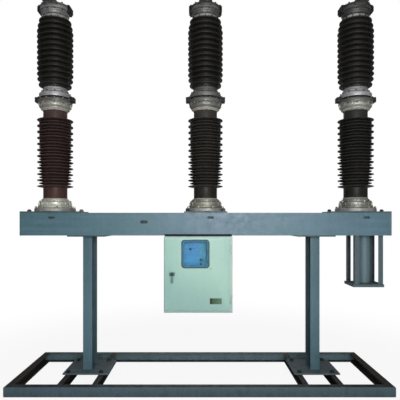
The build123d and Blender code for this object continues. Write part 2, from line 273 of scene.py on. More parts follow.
def cast(name, bright, dull, rough=0.46, metal=0.55, grain=0.35, corner_dirt_and_shade=0.75, streaks=0.3):
    """Sand-cast aluminium: grain, oxide blotches, dirt and painted shade in the corners."""
    m, nt, b = new_material(name)
    tc = node(nt, "ShaderNodeTexCoord")
    obj, nrm = tc.outputs["Object"], tc.outputs["Normal"]
    blot = remap(nt, noise(nt, obj, 18, 5, 0.65), 0.3, 0.72)
    col = mix(nt, blot, bright, dull)
    runs = remap(nt, noise(nt, obj, 1.0, 3, 0.6, stretch=(60, 60, 6)), 0.5, 0.8, 0.0, streaks)
    col = mix(nt, runs, col, lin(84, 78, 66))
    # concave corners darkened: dirt, and painted shade of the gaps and grooves
    dirt = math_node(nt, "MULTIPLY", cavity(nt), corner_dirt_and_shade, clamp=True)
    col = mix(nt, dirt, col, lin(38, 34, 28))
    nz = node(nt, "ShaderNodeSeparateXYZ", {"Vector": nrm}).outputs[2]
    lying = math_node(nt, "MULTIPLY", remap(nt, nz, 0.5, 0.95), 0.3)
    col = mix(nt, lying, col, lin(92, 86, 76))
    nt.links.new(col, b.inputs["Base Color"])
    b.inputs["Metallic"].default_value = metal
    r = math_node(nt, "ADD", remap(nt, noise(nt, obj, 35, 4, 0.6), 0.3, 0.7, rough - 0.07, rough + 0.12),
                  math_node(nt, "MULTIPLY", dirt, 0.3))
    nt.links.new(r, b.inputs["Roughness"])
    g1 = node(nt, "ShaderNodeBump", {"Height": noise(nt, obj, 520, 3, 0.6), "Strength": grain, "Distance": 0.0006})
    g2 = node(nt, "ShaderNodeBump", {"Height": noise(nt, obj, 30, 3, 0.5), "Strength": 0.15, "Distance": 0.002,
                                     "Normal": g1.outputs[0]})
    nt.links.new(g2.outputs[0], b.inputs["Normal"])
    return m


def metal(name, colour, alt, rough=0.35, metallic=0.9, brush=(1, 1, 1), rust=0.0):
    """Plated or bare metal for bolts, hinges and pins."""
    m, nt, b = new_material(name)
    obj = node(nt, "ShaderNodeTexCoord").outputs["Object"]
    col = mix(nt, remap(nt, noise(nt, obj, 45, 4, 0.6), 0.3, 0.7), colour, alt)
    if rust:
        spots = remap(nt, noise(nt, obj, 85, 6, 0.7, offset=(2, 7, 1)), 0.55, 0.7, 0.0, rust)
        col = mix(nt, spots, col, lin(92, 52, 30))
    nt.links.new(col, b.inputs["Base Color"])
    b.inputs["Metallic"].default_value = metallic
    nt.links.new(remap(nt, noise(nt, obj, 90, 4, 0.6, stretch=brush), 0.3, 0.7, rough - 0.08, rough + 0.12),
                 b.inputs["Roughness"])
    bp = node(nt, "ShaderNodeBump", {"Height": noise(nt, obj, 600, 2, 0.5, stretch=brush), "Strength": 0.15,
                                     "Distance": 0.0004})
    nt.links.new(bp.outputs[0], b.inputs["Normal"])
    return m


def rubber(name, colour, alt, rough=0.6):
    m, nt, b = new_material(name)
    obj = node(nt, "ShaderNodeTexCoord").outputs["Object"]
    col = mix(nt, remap(nt, noise(nt, obj, 28, 5, 0.7), 0.35, 0.7), colour, alt)
    nt.links.new(col, b.inputs["Base Color"])
    nt.links.new(remap(nt, noise(nt, obj, 60, 3, 0.6), 0.3, 0.7, rough - 0.1, rough + 0.12), b.inputs["Roughness"])
    b.inputs["Specular IOR Level"].default_value = 0.35
    bp = node(nt, "ShaderNodeBump", {"Height": noise(nt, obj, 700, 2, 0.5), "Strength": 0.2, "Distance": 0.0003})
    nt.links.new(bp.outputs[0], b.inputs["Normal"])
    return m


# ----------------------------------------------------------------------------
# materials
# ----------------------------------------------------------------------------
M = {}
# beam paint: the darker, greener ends are painted shade for the light falling off along the beam
M["beam"] = paint("beam_paint", lin(104, 136, 155), lin(97, 134, 146), rough=0.40, streak=0.10, up=0.4,
                  dirt=lin(72, 80, 80), chips=0.35, grime=0.14, end_shade_and_tint=(lin(74, 112, 122), 0.2, 0.45, 1.75, 0.85), wipe=(lin(116, 136, 162), 0.28))
M["pole_plate"] = paint("pole_plate_paint", lin(80, 97, 100), lin(74, 92, 95), rough=0.42, streak=0.14, up=0.6,
                        dirt=lin(66, 72, 70), chips=0.5, grime=0.25)
# leg paint: the web and inner flange faces are darkened, painted shade of the recess between the flanges with some dirt
M["leg"] = paint("leg_paint", lin(90, 123, 137), lin(79, 115, 125), rough=0.42, streak=0.12, up=0.5,
                 dirt=lin(56, 66, 68), low=0.35, chips=0.4, grime=0.2, inner_shade_and_dirt=(lin(34, 54, 66), 0.0, 9.0, 0.0802, 0.72))
# a darker copy of the leg paint for the head plates: painted shade of the beam above
M["head"] = paint("head_plate_painted_shade", lin(64, 86, 90), lin(57, 80, 83), rough=0.45, streak=0.14, up=0.5,
                  dirt=lin(48, 56, 56), chips=0.4, grime=0.25)
# floor frame paint: upward faces are pulled almost fully to a near-black brown
M["base"] = paint("base_paint", lin(73, 95, 107), lin(67, 91, 97), rough=0.5, streak=0.18, up=0.97,
                  dirt=lin(38, 36, 32), low=0.07, chips=0.8, chip_colour=lin(62, 52, 44), grime=0.32)
# a darker, browner copy of the base paint for the end and cross channels: dirt, and painted shade of faces turned away
# from the light
M["base_side"] = paint("base_side_paint", lin(60, 59, 56), lin(52, 50, 46), rough=0.55, streak=0.2, up=0.95,
                       dirt=lin(40, 35, 30), low=0.07, chips=0.8, chip_colour=lin(52, 44, 38), grime=0.4)
# a lighter copy of the base paint for the rear channel: painted light, making up for the light that its top flange and
# the parts in front keep off it
M["base_rear"] = paint("base_rear_paint", lin(106, 132, 143), lin(100, 128, 134), rough=0.5, streak=0.16, up=0.97,
                       dirt=lin(40, 41, 37), low=0.06, chips=0.7, chip_colour=lin(66, 60, 52), grime=0.28)
M["plate"] = paint("plate_paint", lin(96, 119, 130), lin(84, 106, 112), rough=0.5, streak=0.16, up=0.5,
                   dirt=lin(50, 49, 43), chips=0.8, chip_colour=lin(74, 62, 52), grime=0.3)
M["spring"] = paint("spring_paint", lin(84, 103, 110), lin(78, 100, 106), rough=0.42, streak=0.14, up=0.5,
                    dirt=lin(48, 54, 54), chips=0.4, grime=0.2)
# a shaded copy of the spring paint: the inner faces of the left posts are darkened, painted shade of the beam and tube
# above, with some dirt
M["post"] = paint("spring_post_painted_shade", lin(84, 103, 110), lin(78, 100, 106), rough=0.42, streak=0.14, up=0.5,
                  dirt=lin(48, 54, 54), chips=0.4, grime=0.2, inner_shade_and_dirt=(lin(26, 34, 38), 1.311, 0.0555, 0.0965, 0.85))
M["tube"] = paint("tube_paint", lin(110, 135, 144), lin(103, 131, 138), rough=0.40, streak=0.12, up=0.3,
                  dirt=lin(60, 68, 68), chips=0.35, grime=0.18)
M["cabinet"] = paint("cabinet_paint", lin(188, 228, 212), lin(182, 223, 209), rough=0.36, streak=0.04, up=0.25,
                     dirt=lin(140, 156, 146), chips=0.12, peel=0.2, patch=1.6, grime=0.06, spec=0.4, grain=0.03,
                     slope=(lin(163, 205, 198), 0.55, 1.0, 1.02, 0.55, 0.85))
M["shell"] = paint("shell_paint", lin(206, 228, 220), lin(201, 223, 216), rough=0.38, streak=0.05, up=0.25,
                   dirt=lin(150, 162, 154), chips=0.12, peel=0.2, patch=1.6, grime=0.08, spec=0.4, grain=0.03,
                   slope=(lin(180, 201, 200), 0.45, 1.0, 1.05, 0.6, 0.85))
M["panel"] = paint("panel_blue", lin(78, 178, 226), lin(84, 164, 222), rough=0.34, streak=0.04, up=0.1,
                   dirt=lin(60, 80, 110), patch=6.0, grime=0.06,
                   slope=(lin(84, 168, 186), 1.0, 0.0, -0.075, 0.0, 0.85))
# per-pole copies of one glaze, lighter and redder on the left pole, darker and greyer on the right: painted light and
# shade, standing in for the light differing along the row
M["brown_left"] = porcelain("brown_porcelain_left", lin(70, 54, 53), lin(82, 65, 61), dust=0.10)
M["brown_middle"] = porcelain("brown_porcelain_middle", lin(57, 54, 52), lin(68, 63, 58), dust=0.10)
M["brown_right"] = porcelain("brown_porcelain_right", lin(46, 46, 45), lin(54, 53, 51), dust=0.10)
# darker copies of the glaze for the insulator necks: painted shade under the sheds, also differing per pole
M["neck_left"] = porcelain("neck_porcelain_painted_shade_left", lin(70, 47, 42), lin(82, 57, 49), dust=0.10)
M["neck_middle"] = porcelain("neck_porcelain_painted_shade_middle", lin(36, 34, 27), lin(44, 42, 33), dust=0.10)
M["neck_right"] = porcelain("neck_porcelain_painted_shade_right", lin(30, 31, 28), lin(38, 38, 35), dust=0.10)
M["black"] = porcelain("black_porcelain", lin(37, 36, 34), lin(42, 41, 39), dust=0.06)
# per-pole copies of one cast finish (the cast_*, base_*, cast_mid_* and cast_cap_* entries) in different brightness:
# painted light and shade, standing in for the light differing from pole to pole
M["cast"] = cast("cast_aluminium", lin(206, 206, 198), lin(168, 168, 158), metal=0.7)
M["cast_left"] = cast("cast_left", lin(206, 205, 196), lin(170, 169, 159), metal=0.6, corner_dirt_and_shade=0.6)
M["cast_middle"] = cast("cast_middle", lin(168, 168, 161), lin(135, 135, 128), metal=0.7)
M["base_left"] = cast("base_left", lin(226, 226, 214), lin(195, 195, 183), metal=0.5, corner_dirt_and_shade=0.35, streaks=0.15)
M["base_middle"] = cast("base_middle", lin(182, 182, 170), lin(150, 150, 138), metal=0.65, corner_dirt_and_shade=0.4, streaks=0.2)
M["base_right"] = cast("base_right", lin(183, 185, 176), lin(149, 151, 141), rough=0.4, metal=0.78, corner_dirt_and_shade=0.5, streaks=0.2)
M["base_flange"] = cast("base_flange", lin(176, 178, 173), lin(144, 146, 141), rough=0.5, metal=0.5, corner_dirt_and_shade=0.5)
M["cast_mid"] = cast("cast_mid", lin(168, 168, 162), lin(136, 136, 130), metal=0.65)
M["cast_mid_side"] = cast("cast_mid_side", lin(204, 203, 206), lin(172, 171, 174), metal=0.6, corner_dirt_and_shade=0.6)
M["cast_mid_middle"] = cast("cast_mid_middle", lin(141, 141, 138), lin(113, 113, 110), metal=0.65)
M["cast_flange"] = cast("cast_flange", lin(132, 132, 128), lin(104, 104, 100), rough=0.5, metal=0.6)
M["cast_cap"] = cast("cast_cap", lin(142, 142, 141), lin(108, 108, 107), metal=0.65)
M["cast_cap_left"] = cast("cast_cap_left", lin(168, 168, 167), lin(132, 132, 131), metal=0.6)
M["cast_rim"] = cast("cast_rim", lin(176, 176, 175), lin(150, 150, 149), rough=0.55, metal=0.15, corner_dirt_and_shade=0.35, streaks=0.15)
M["cast_cap_right"] = cast("cast_cap_right", lin(106, 106, 105), lin(78, 78, 77), metal=0.6)
M["cast_dark"] = cast("cast_dark", lin(42, 42, 41), lin(31, 31, 30), rough=0.55, metal=0.4)
# dark sealant for the groove between the middle casting's flanges: partly painted shade of the groove
M["seam"] = rubber("seam_sealant_and_shade", lin(52, 52, 50), lin(38, 38, 37), rough=0.7)
M["bolt"] = metal("bolt_steel", lin(120, 118, 112), lin(86, 84, 78), rough=0.42, rust=0.35)
M["bolt_light"] = metal("bolt_steel_light", lin(176, 176, 168), lin(140, 140, 132), rough=0.42, metallic=0.6, rust=0.15)
M["bolt_dark"] = metal("bolt_steel_dark", lin(84, 88, 88), lin(60, 62, 62), rough=0.45, rust=0.3)
M["hinge"] = metal("hinge_steel", lin(168, 172, 172), lin(140, 144, 144), rough=0.32, rust=0.1)
M["lock"] = metal("lock_metal", lin(88, 124, 117), lin(76, 110, 104), rough=0.45, metallic=0.25)
M["core"] = metal("lock_core", lin(26, 48, 38), lin(36, 60, 48), rough=0.5, metallic=0.2)
M["lever"] = metal("lever_metal", lin(116, 155, 146), lin(102, 140, 132), rough=0.45, metallic=0.15)
M["screw_dark"] = metal("screw_dark", lin(88, 138, 136), lin(72, 116, 116), rough=0.45, metallic=0.25)
M["rubber"] = rubber("black_rubber", lin(26, 28, 29), lin(40, 41, 41))
M["gasket"] = rubber("window_rubber", lin(62, 106, 122), lin(54, 96, 112), rough=0.5)
M["gasket_lip"] = rubber("window_lip_rubber", lin(86, 138, 168), lin(76, 126, 158), rough=0.5)
# near-black rubber for the strip under the beam: painted shadow of the gap between beam and cabinet
M["strip"] = rubber("gap_shadow_rubber", lin(20, 30, 30), lin(34, 42, 42), rough=0.7)
# a darker copy of the cement for the right pole: painted shade
M["cement_grey"] = rubber("cement_grey", lin(150, 150, 144), lin(126, 126, 120), rough=0.85)
# light cement for the insulators' cement joints; on the middle casting's foot ring the same light colour is painted
# light, for the underside chamfer catching light from the ground
M["cement_and_painted_light"] = rubber("cement_and_painted_light", lin(206, 204, 192), lin(178, 176, 164), rough=0.85)
M["weld"] = paint("weld_paint", lin(88, 116, 128), lin(76, 106, 116), rough=0.45, streak=0.2, up=0.3,
                  dirt=lin(54, 60, 60), chips=0.6)
M["weld_base"] = paint("weld_base_paint", lin(70, 88, 98), lin(62, 80, 86), rough=0.52, streak=0.25, up=0.5,
                       dirt=lin(46, 46, 42), chips=0.8)


def glass_material():
    m, nt, b = new_material("clear_glass")
    obj = node(nt, "ShaderNodeTexCoord").outputs["Object"]
    smear = remap(nt, noise(nt, obj, 12, 5, 0.7, stretch=(1, 1, 0.5)), 0.45, 0.75, 0.02, 0.12)
    nt.links.new(smear, b.inputs["Roughness"])
    b.inputs["Base Color"].default_value = (0.86, 0.95, 0.98, 1)
    b.inputs["Transmission Weight"].default_value = 1.0
    b.inputs["IOR"].default_value = 1.45
    tint = node(nt, "ShaderNodeBsdfTransparent", {"Color": (0.93, 0.97, 0.99, 1)})
    gloss = nt.nodes.new("ShaderNodeMixShader")
    gloss.inputs[0].default_value = 0.22
    out = next(n for n in nt.nodes if n.type == "OUTPUT_MATERIAL")
    nt.links.new(tint.outputs[0], gloss.inputs[1])
    nt.links.new(b.outputs[0], gloss.inputs[2])
    nt.links.new(gloss.outputs[0], out.inputs[0])
    return m


def plate_material():
    """Etched plate: dark field ruled into blank rows inside a light margin."""
    m, nt, b = new_material("plate_metal")
    tc = node(nt, "ShaderNodeTexCoord").outputs["Object"]
    sep = node(nt, "ShaderNodeSeparateXYZ", {"Vector": tc})
    lo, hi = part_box("nameplate")
    u = remap(nt, sep.outputs[0], lo.x, hi.x, 0, 1, smooth=False)
    v = remap(nt, sep.outputs[2], lo.z, hi.z, 0, 1, smooth=False)

    def band(x, a, bb):
        return math_node(nt, "MULTIPLY", math_node(nt, "GREATER_THAN", x, a), math_node(nt, "LESS_THAN", x, bb))
    field = math_node(nt, "MULTIPLY", band(u, 0.02, 0.98), band(v, 0.035, 0.965))
    rows = math_node(nt, "FRACT", math_node(nt, "MULTIPLY", math_node(nt, "SUBTRACT", v, 0.085), 6.03))
    rule = math_node(nt, "LESS_THAN", rows, 0.12)
    col_rule = band(u, 0.23, 0.24)
    lines = math_node(nt, "MAXIMUM", rule, col_rule)
    wear = remap(nt, noise(nt, tc, 90, 4, 0.6), 0.3, 0.7, 0.0, 0.22)
    light = mix(nt, wear, lin(190, 204, 184), lin(152, 164, 144))
    pale = mix(nt, remap(nt, u, 0.3, 0.95), lin(66, 104, 70), lin(100, 136, 112))
    deep = math_node(nt, "LESS_THAN", u, 0.23)
    dark = mix(nt, wear, mix(nt, deep, pale, lin(18, 44, 22)), lin(70, 98, 68))
    col = mix(nt, field, light, mix(nt, math_node(nt, "MULTIPLY", lines, 0.25), dark, light))
    nt.links.new(col, b.inputs["Base Color"])
    b.inputs["Metallic"].default_value = 0.05
    b.inputs["Specular IOR Level"].default_value = 0.25
    nt.links.new(remap(nt, noise(nt, tc, 200, 3, 0.5), 0.3, 0.7, 0.45, 0.6), b.inputs["Roughness"])
    bp = node(nt, "ShaderNodeBump", {"Height": lines, "Strength": 0.3, "Distance": 0.0003})
    nt.links.new(bp.outputs[0], b.inputs["Normal"])
    return m


M["glass"] = glass_material()
M["nameplate"] = plate_material()


# ----------------------------------------------------------------------------
# mesh building, in millimetres
# ----------------------------------------------------------------------------
class Shape:
    """Vertices and faces gathered from several pieces, then made into one object."""

    def __init__(self):
        self.v, self.f, self.m, self.cav = [], [], [], []

    def add(self, verts, faces, mat=0, cav=None):
        n = len(self.v)
        self.v.extend(verts)
        self.cav.extend(cav if cav is not None else [0.0] * len(verts))
        for f in faces:
            self.f.append([i + n for i in f])
            self.m.append(mat)

    def lathe(self, prof, cx=0.0, cy=0.0, seg=96, mat=0, turn=0.0):
        """Turned body. prof is (radius, height) from the foot up; radius 0 closes an end."""
        cav = []
        for i, (r, z) in enumerate(prof):
            c = 0.0
            if 0 < i < len(prof) - 1:
                a = Vector((r - prof[i - 1][0], z - prof[i - 1][1]))
                b = Vector((prof[i + 1][0] - r, prof[i + 1][1] - z))
                if a.length > 1e-6 and b.length > 1e-6:
                    a.normalize(), b.normalize()
                    c = max(0.0, -(a.x * b.y - a.y * b.x))
            cav.append(min(1.0, c * 1.3))
        verts, vc, rings = [], [], []
        for (r, z), c in zip(prof, cav):
            if r < 1e-6:
                rings.append([len(verts)])
                verts.append((cx, cy, z))
                vc.append(0.0)
            else:
                rings.append(list(range(len(verts), len(verts) + seg)))
                for k in range(seg):
                    a = turn + 2 * math.pi * k / seg
                    verts.append((cx + r * math.cos(a), cy + r * math.sin(a), z))
                    vc.append(c)
        faces = []
        for a, b in zip(rings, rings[1:]):
            for k in range(seg):
                k2 = (k + 1) % seg
                if len(a) == 1 and len(b) == 1:
                    continue
                if len(a) == 1:
                    faces.append([a[0], b[k2], b[k]])
                elif len(b) == 1:
                    faces.append([a[k], a[k2], b[0]])
                else:
                    faces.append([a[k], a[k2], b[k2], b[k]])
        self.add(verts, faces, mat, vc)

    def box(self, x0, x1, y0, y1, z0, z1, bev=1.2, seg=2, mat=0, matrix=None, cav=0.0):
        bm = bmesh.new()
        bmesh.ops.create_cube(bm, size=1.0)
        for v in bm.verts:
            v.co = Vector(((x0 + x1) / 2 + v.co.x * (x1 - x0), (y0 + y1) / 2 + v.co.y * (y1 - y0),
                           (z0 + z1) / 2 + v.co.z * (z1 - z0)))
        if bev > 0:
            bmesh.ops.bevel(bm, geom=bm.edges[:], offset=bev, segments=seg, affect="EDGES", profile=0.5)
        if matrix is not None:
            bmesh.ops.transform(bm, matrix=matrix, verts=bm.verts)
        bm.verts.index_update()
        self.add([tuple(v.co) for v in bm.verts], [[v.index for v in f.verts] for f in bm.faces], mat,
                 [cav] * len(bm.verts))
        bm.free()

    def rings(self, loops, closed=False, cap0=False, cap1=False, mat=0, flip=False):
        """Joins closed loops with the same number of points."""
        n = len(loops[0])
        verts = [p for lp in loops for p in lp]
        faces = []
        count = len(loops)
        for i in range(count if closed else count - 1):
            a, b = i * n, ((i + 1) % count) * n
            for k in range(n):
                k2 = (k + 1) % n
                faces.append([a + k, a + k2, b + k2, b + k])
        if cap0:
            faces.append([k for k in range(n)][::-1])
        if cap1:
            faces.append([(count - 1) * n + k for k in range(n)])
        if flip:
            faces = [f[::-1] for f in faces]
        self.add(verts, faces, mat)

    def hexbolt(self, p, axis=(0, 0, 1), af=24.0, h=10.0, washer=None, stub=0.0, mat=0, spin=0.0):
        """Hexagon head or nut on a washer, with the thread's end if stub is given."""
        n = Vector(axis).normalized()
        u = n.orthogonal().normalized()
        w = n.cross(u)
        base = Vector(p)

        def ring(r, t, k, ph=0.0):
            return [tuple(base + n * t + (u * math.cos(ph + 2 * math.pi * i / k) + w * math.sin(ph + 2 * math.pi * i / k)) * r)
                    for i in range(k)]
        t = 0.0
        if washer:
            wr, wt = washer
            self.rings([ring(wr, 0, 20), ring(wr, wt * 0.75, 20), ring(wr - 0.6, wt, 20)], cap0=True, cap1=True, mat=mat)
            t = wt
        rr = af / math.sqrt(3)
        c = af * 0.07
        self.rings([ring(rr, t, 6, spin), ring(rr, t + h - c, 6, spin), ring(rr * 0.87, t + h, 6, spin)],
                   cap0=True, cap1=True, mat=mat)
        if stub:
            sr = af * 0.31
            self.rings([ring(sr, t + h - 1, 12), ring(sr, t + h + stub - 1.2, 12), ring(sr - 1.2, t + h + stub, 12)],
                       cap0=True, cap1=True, mat=mat)

    def bead(self, points, r=3.6, step=4.5, mat=0, seed=1, sides=6):
        """Weld bead: a rippled round along straight runs."""
        rnd = random.Random(seed)
        for p, q in zip(points, points[1:]):
            p, q = Vector(p), Vector(q)
            d = q - p
            length = d.length
            if length < 2:
                continue
            d.normalize()
            u = d.orthogonal().normalized()
            w = d.cross(u)
            count = max(3, int(length / step))
            loops = []
            for i in range(count + 1):
                t = i / count
                rr = r * (0.88 + 0.16 * (i % 2) + rnd.uniform(-0.08, 0.08))
                if i in (0, count):
                    rr *= 0.55
                c = p + d * (length * t) + u * rnd.uniform(-0.3, 0.3) + w * rnd.uniform(-0.3, 0.3)
                loops.append([tuple(c + (u * math.cos(2 * math.pi * k / sides) + w * math.sin(2 * math.pi * k / sides)) * rr)
                              for k in range(sides)])
            self.rings(loops, cap0=True, cap1=True, mat=mat)

    def holed_plate(self, outer, holes, z0, z1, chamfer=1.2, mat=0, matrix=None):
        """Flat plate with through holes. outer(inset) gives its outline, holes are (x, y, r)."""
        k = 24

        def hole(x, y, r, grow):
            return [(x + (r + grow) * math.cos(2 * math.pi * i / k), y + (r + grow) * math.sin(2 * math.pi * i / k))
                    for i in range(k)]
        verts, faces = [], []

        def put(loop, z):
            n = len(verts)
            verts.extend([(x, y, z) for x, y in loop])
            return list(range(n, n + len(loop)))
        walls = []
        for face_loop, wall_loop, sign in [(outer(chamfer), outer(0.0), 1)] + [
                (hole(x, y, r, chamfer * 0.7), hole(x, y, r, 0.0), -1) for x, y, r in holes]:
            stack = [put(face_loop, z0), put(wall_loop, z0 + chamfer), put(wall_loop, z1 - chamfer), put(face_loop, z1)]
            walls.append(stack)
            for a, b in zip(stack, stack[1:]):
                for i in range(len(a)):
                    j = (i + 1) % len(a)
                    f = [a[i], a[j], b[j], b[i]]
                    faces.append(f if sign > 0 else f[::-1])
        for level, up in ((3, True), (0, False)):
            index = [i for st in walls for i in st[level]]
            polys = [[Vector(verts[i]) for i in st[level]] for st in walls]
            for tri in tessellate_polygon(polys):
                t = [index[i] for i in tri]
                a, b, c = (Vector(verts[i]) for i in t)
                nz = (b - a).cross(c - a).z
                if abs(nz) < 1e-9:
                    continue
                faces.append(t if (nz > 0) == up else t[::-1])
        if matrix is not None:
            verts = [tuple(matrix @ Vector(v)) for v in verts]
        self.add(verts, faces, mat)

    def make(self, name, mats, body="frame", replaces=(), slot=None, sharp=32.0, smooth=True):
        me = bpy.data.meshes.new(name)
        me.from_pydata([(x * MM, y * MM, z * MM) for x, y, z in self.v], [], self.f)
        me.polygons.foreach_set("material_index", self.m)
        me.polygons.foreach_set("use_smooth", [smooth] * len(self.f))
        for m in mats:
            me.materials.append(m)
        at = me.attributes.new("cavity", "FLOAT", "POINT")
        at.data.foreach_set("value", self.cav)
        me.validate(clean_customdata=False)
        me.update()
        if smooth:
            me.set_sharp_from_angle(angle=math.radians(sharp))
        ob = bpy.data.objects.new(name, me)
        bpy.context.scene.collection.objects.link(ob)
        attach(ob, body)
        if replaces:
            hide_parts(*replaces)
        return ob


def rounded(x0, x1, y0, y1, r, n=6):
    """Rounded rectangle, counter-clockwise, always the same number of points."""
    r = max(0.01, min(r, (x1 - x0) / 2 - 0.01, (y1 - y0) / 2 - 0.01))
    pts = []
    for cx, cy, a in ((x1 - r, y0 + r, -90), (x1 - r, y1 - r, 0), (x0 + r, y1 - r, 90), (x0 + r, y0 + r, 180)):
        for i in range(n + 1):
            t = math.radians(a + 90.0 * i / n)
            pts.append((cx + r * math.cos(t), cy + r * math.sin(t)))
    return pts


def xz(loop, y):
    """Plan loop turned upright at depth y. Seen from the front it runs counter-clockwise."""
    return [(a, y, b) for a, b in loop]


def dress(name, mats, bevel=0.0, seg=2, angle=32.0):
    """Material, and softened edges, on a CAD piece whose shape is right."""
    ob = NODES[name]
    ob.data.materials.clear()
    for m in (mats if isinstance(mats, (list, tuple)) else [mats]):
        ob.data.materials.append(m)
    if bevel:
        w = ob.modifiers.new("join", "WELD")
        w.merge_threshold = 0.00002
        d = ob.modifiers.new("flat", "DECIMATE")
        d.decimate_type = "DISSOLVE"
        d.angle_limit = math.radians(0.5)
        b = ob.modifiers.new("edge", "BEVEL")
        b.width = bevel * MM
        b.segments = seg
        b.limit_method = "ANGLE"
        b.angle_limit = math.radians(angle)
        b.harden_normals = False
        b.use_clamp_overlap = True
    return ob


# ----------------------------------------------------------------------------
# floor frame
# ----------------------------------------------------------------------------
def channel_profile(h, b, t, ro=8.0, ri=4.0, n=4):
    """Cold-formed channel, web at u = 0, open towards +u. Points (u, w), counter-clockwise."""
    pts = []

    def arc(cu, cw, r, a0, a1):
        for i in range(n + 1):
            a = math.radians(a0 + (a1 - a0) * i / n)
            pts.append((cu + r * math.cos(a), cw + r * math.sin(a)))
    e = 1.0
    arc(ro, ro, ro, 180, 270)
    arc(b - e, e, e, 270, 360)
    arc(b - e, t - e, e, 0, 90)
    arc(t + ri, t + ri, ri, 270, 180)
    arc(t + ri, h - t - ri, ri, 180, 90)
    arc(b - e, h - t + e, e, 270, 360)
    arc(b - e, h - e, e, 0, 90)
    arc(ro, h - ro, ro, 90, 180)
    return pts


def outer_channel(name, start, along, inward, length, h, b, t, mat, mitre=True):
    prof = channel_profile(h, b, t)
    s, a, n = Vector(start), Vector(along), Vector(inward)
    sh = Shape()
    flip = a.cross(n).z > 0
    loops = []
    for end in (0, 1):
        lp = []
        for u, w in prof:
            d = (u if mitre else 0.0) if end == 0 else length - (u if mitre else 0.0)
            lp.append(tuple(s + a * d + n * u + Vector((0, 0, w))))
        loops.append(lp)
    sh.rings(loops, cap0=True, cap1=True, flip=not flip)
    return sh


lo_f, hi_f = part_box("front_channel")
lo_r, hi_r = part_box("rear_channel")
FX0, FX1, FY0, FY1 = lo_f.x * 1000, hi_f.x * 1000, lo_f.y * 1000, hi_r.y * 1000
FH, FB, CT = hi_f.z * 1000, (hi_f.y - lo_f.y) * 1000, 5.0

for name, start, along, inward, length in (
        ("front_channel", (FX0, FY0, 0), (1, 0, 0), (0, 1, 0), FX1 - FX0),
        ("rear_channel", (FX1, FY1, 0), (-1, 0, 0), (0, -1, 0), FX1 - FX0),
        ("left_end_channel", (FX0, FY1, 0), (0, -1, 0), (1, 0, 0), FY1 - FY0),
        ("right_end_channel", (FX1, FY0, 0), (0, 1, 0), (-1, 0, 0), FY1 - FY0)):
    # the rear channel takes the lighter copy of the base paint (painted light), the end channels the darker copy (dirt
    # and painted shade)
    coat = M["base_rear"] if name == "rear_channel" else M["base"] if name == "front_channel" else M["base_side"]
    outer_channel(name, start, along, inward, length, FH, FB, CT, coat).make(
        name + "_steel", [coat], replaces=[name], slot="base_paint")

cross_x = []
for side in ("left", "right"):
    lo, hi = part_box(side + "_cross_channels")
    width = 43.0
    open_to = 1 if side == "left" else -1
    sh = Shape()
    for x0 in (lo.x * 1000, hi.x * 1000 - width):
        cross_x.append((x0, x0 + width, open_to))
        web = x0 if open_to > 0 else x0 + width
        one = outer_channel("", (web, hi.y * 1000 if open_to > 0 else lo.y * 1000, 0),
                            (0, -1 if open_to > 0 else 1, 0), (open_to, 0, 0), (hi.y - lo.y) * 1000, FH, width, CT,
                            M["base"], mitre=False)
        sh.add(one.v, one.f)
    sh.make(side + "_cross_channels_steel", [M["base_side"]], replaces=[side + "_cross_channels"], slot="base_paint")

# welds of the floor frame
wb = Shape()
seed = 10
for cx, sx in ((FX0, 1), (FX1, -1)):
    for cy, sy in ((FY0, 1), (FY1, -1)):
        seed += 1
        wb.bead([(cx + sx * 7, cy + sy * 7, FH - 2.2), (cx + sx * (FB - 2), cy + sy * (FB - 2), FH - 2.2)], r=3.2, seed=seed)
        wb.bead([(cx + sx * 3.4, cy + sy * 3.4, 9), (cx + sx * 3.4, cy + sy * 3.4, FH - 9)], r=2.6, seed=seed + 40)
for x0, x1, _ in cross_x:
    for y, s in ((FY0 + FB, 1), (FY1 - FB, -1)):
        seed += 1
        wb.bead([(x0 + 4, y, FH - 1.4), (x1 - 1, y, FH - 1.4)], r=2.6, seed=seed)
        wb.bead([(x0 + 4, y, 2.4), (x1 - 1, y, 2.4)], r=1.6, seed=seed + 60)
wb.make("floor_frame_welds", [M["weld_base"]], slot="base_paint")

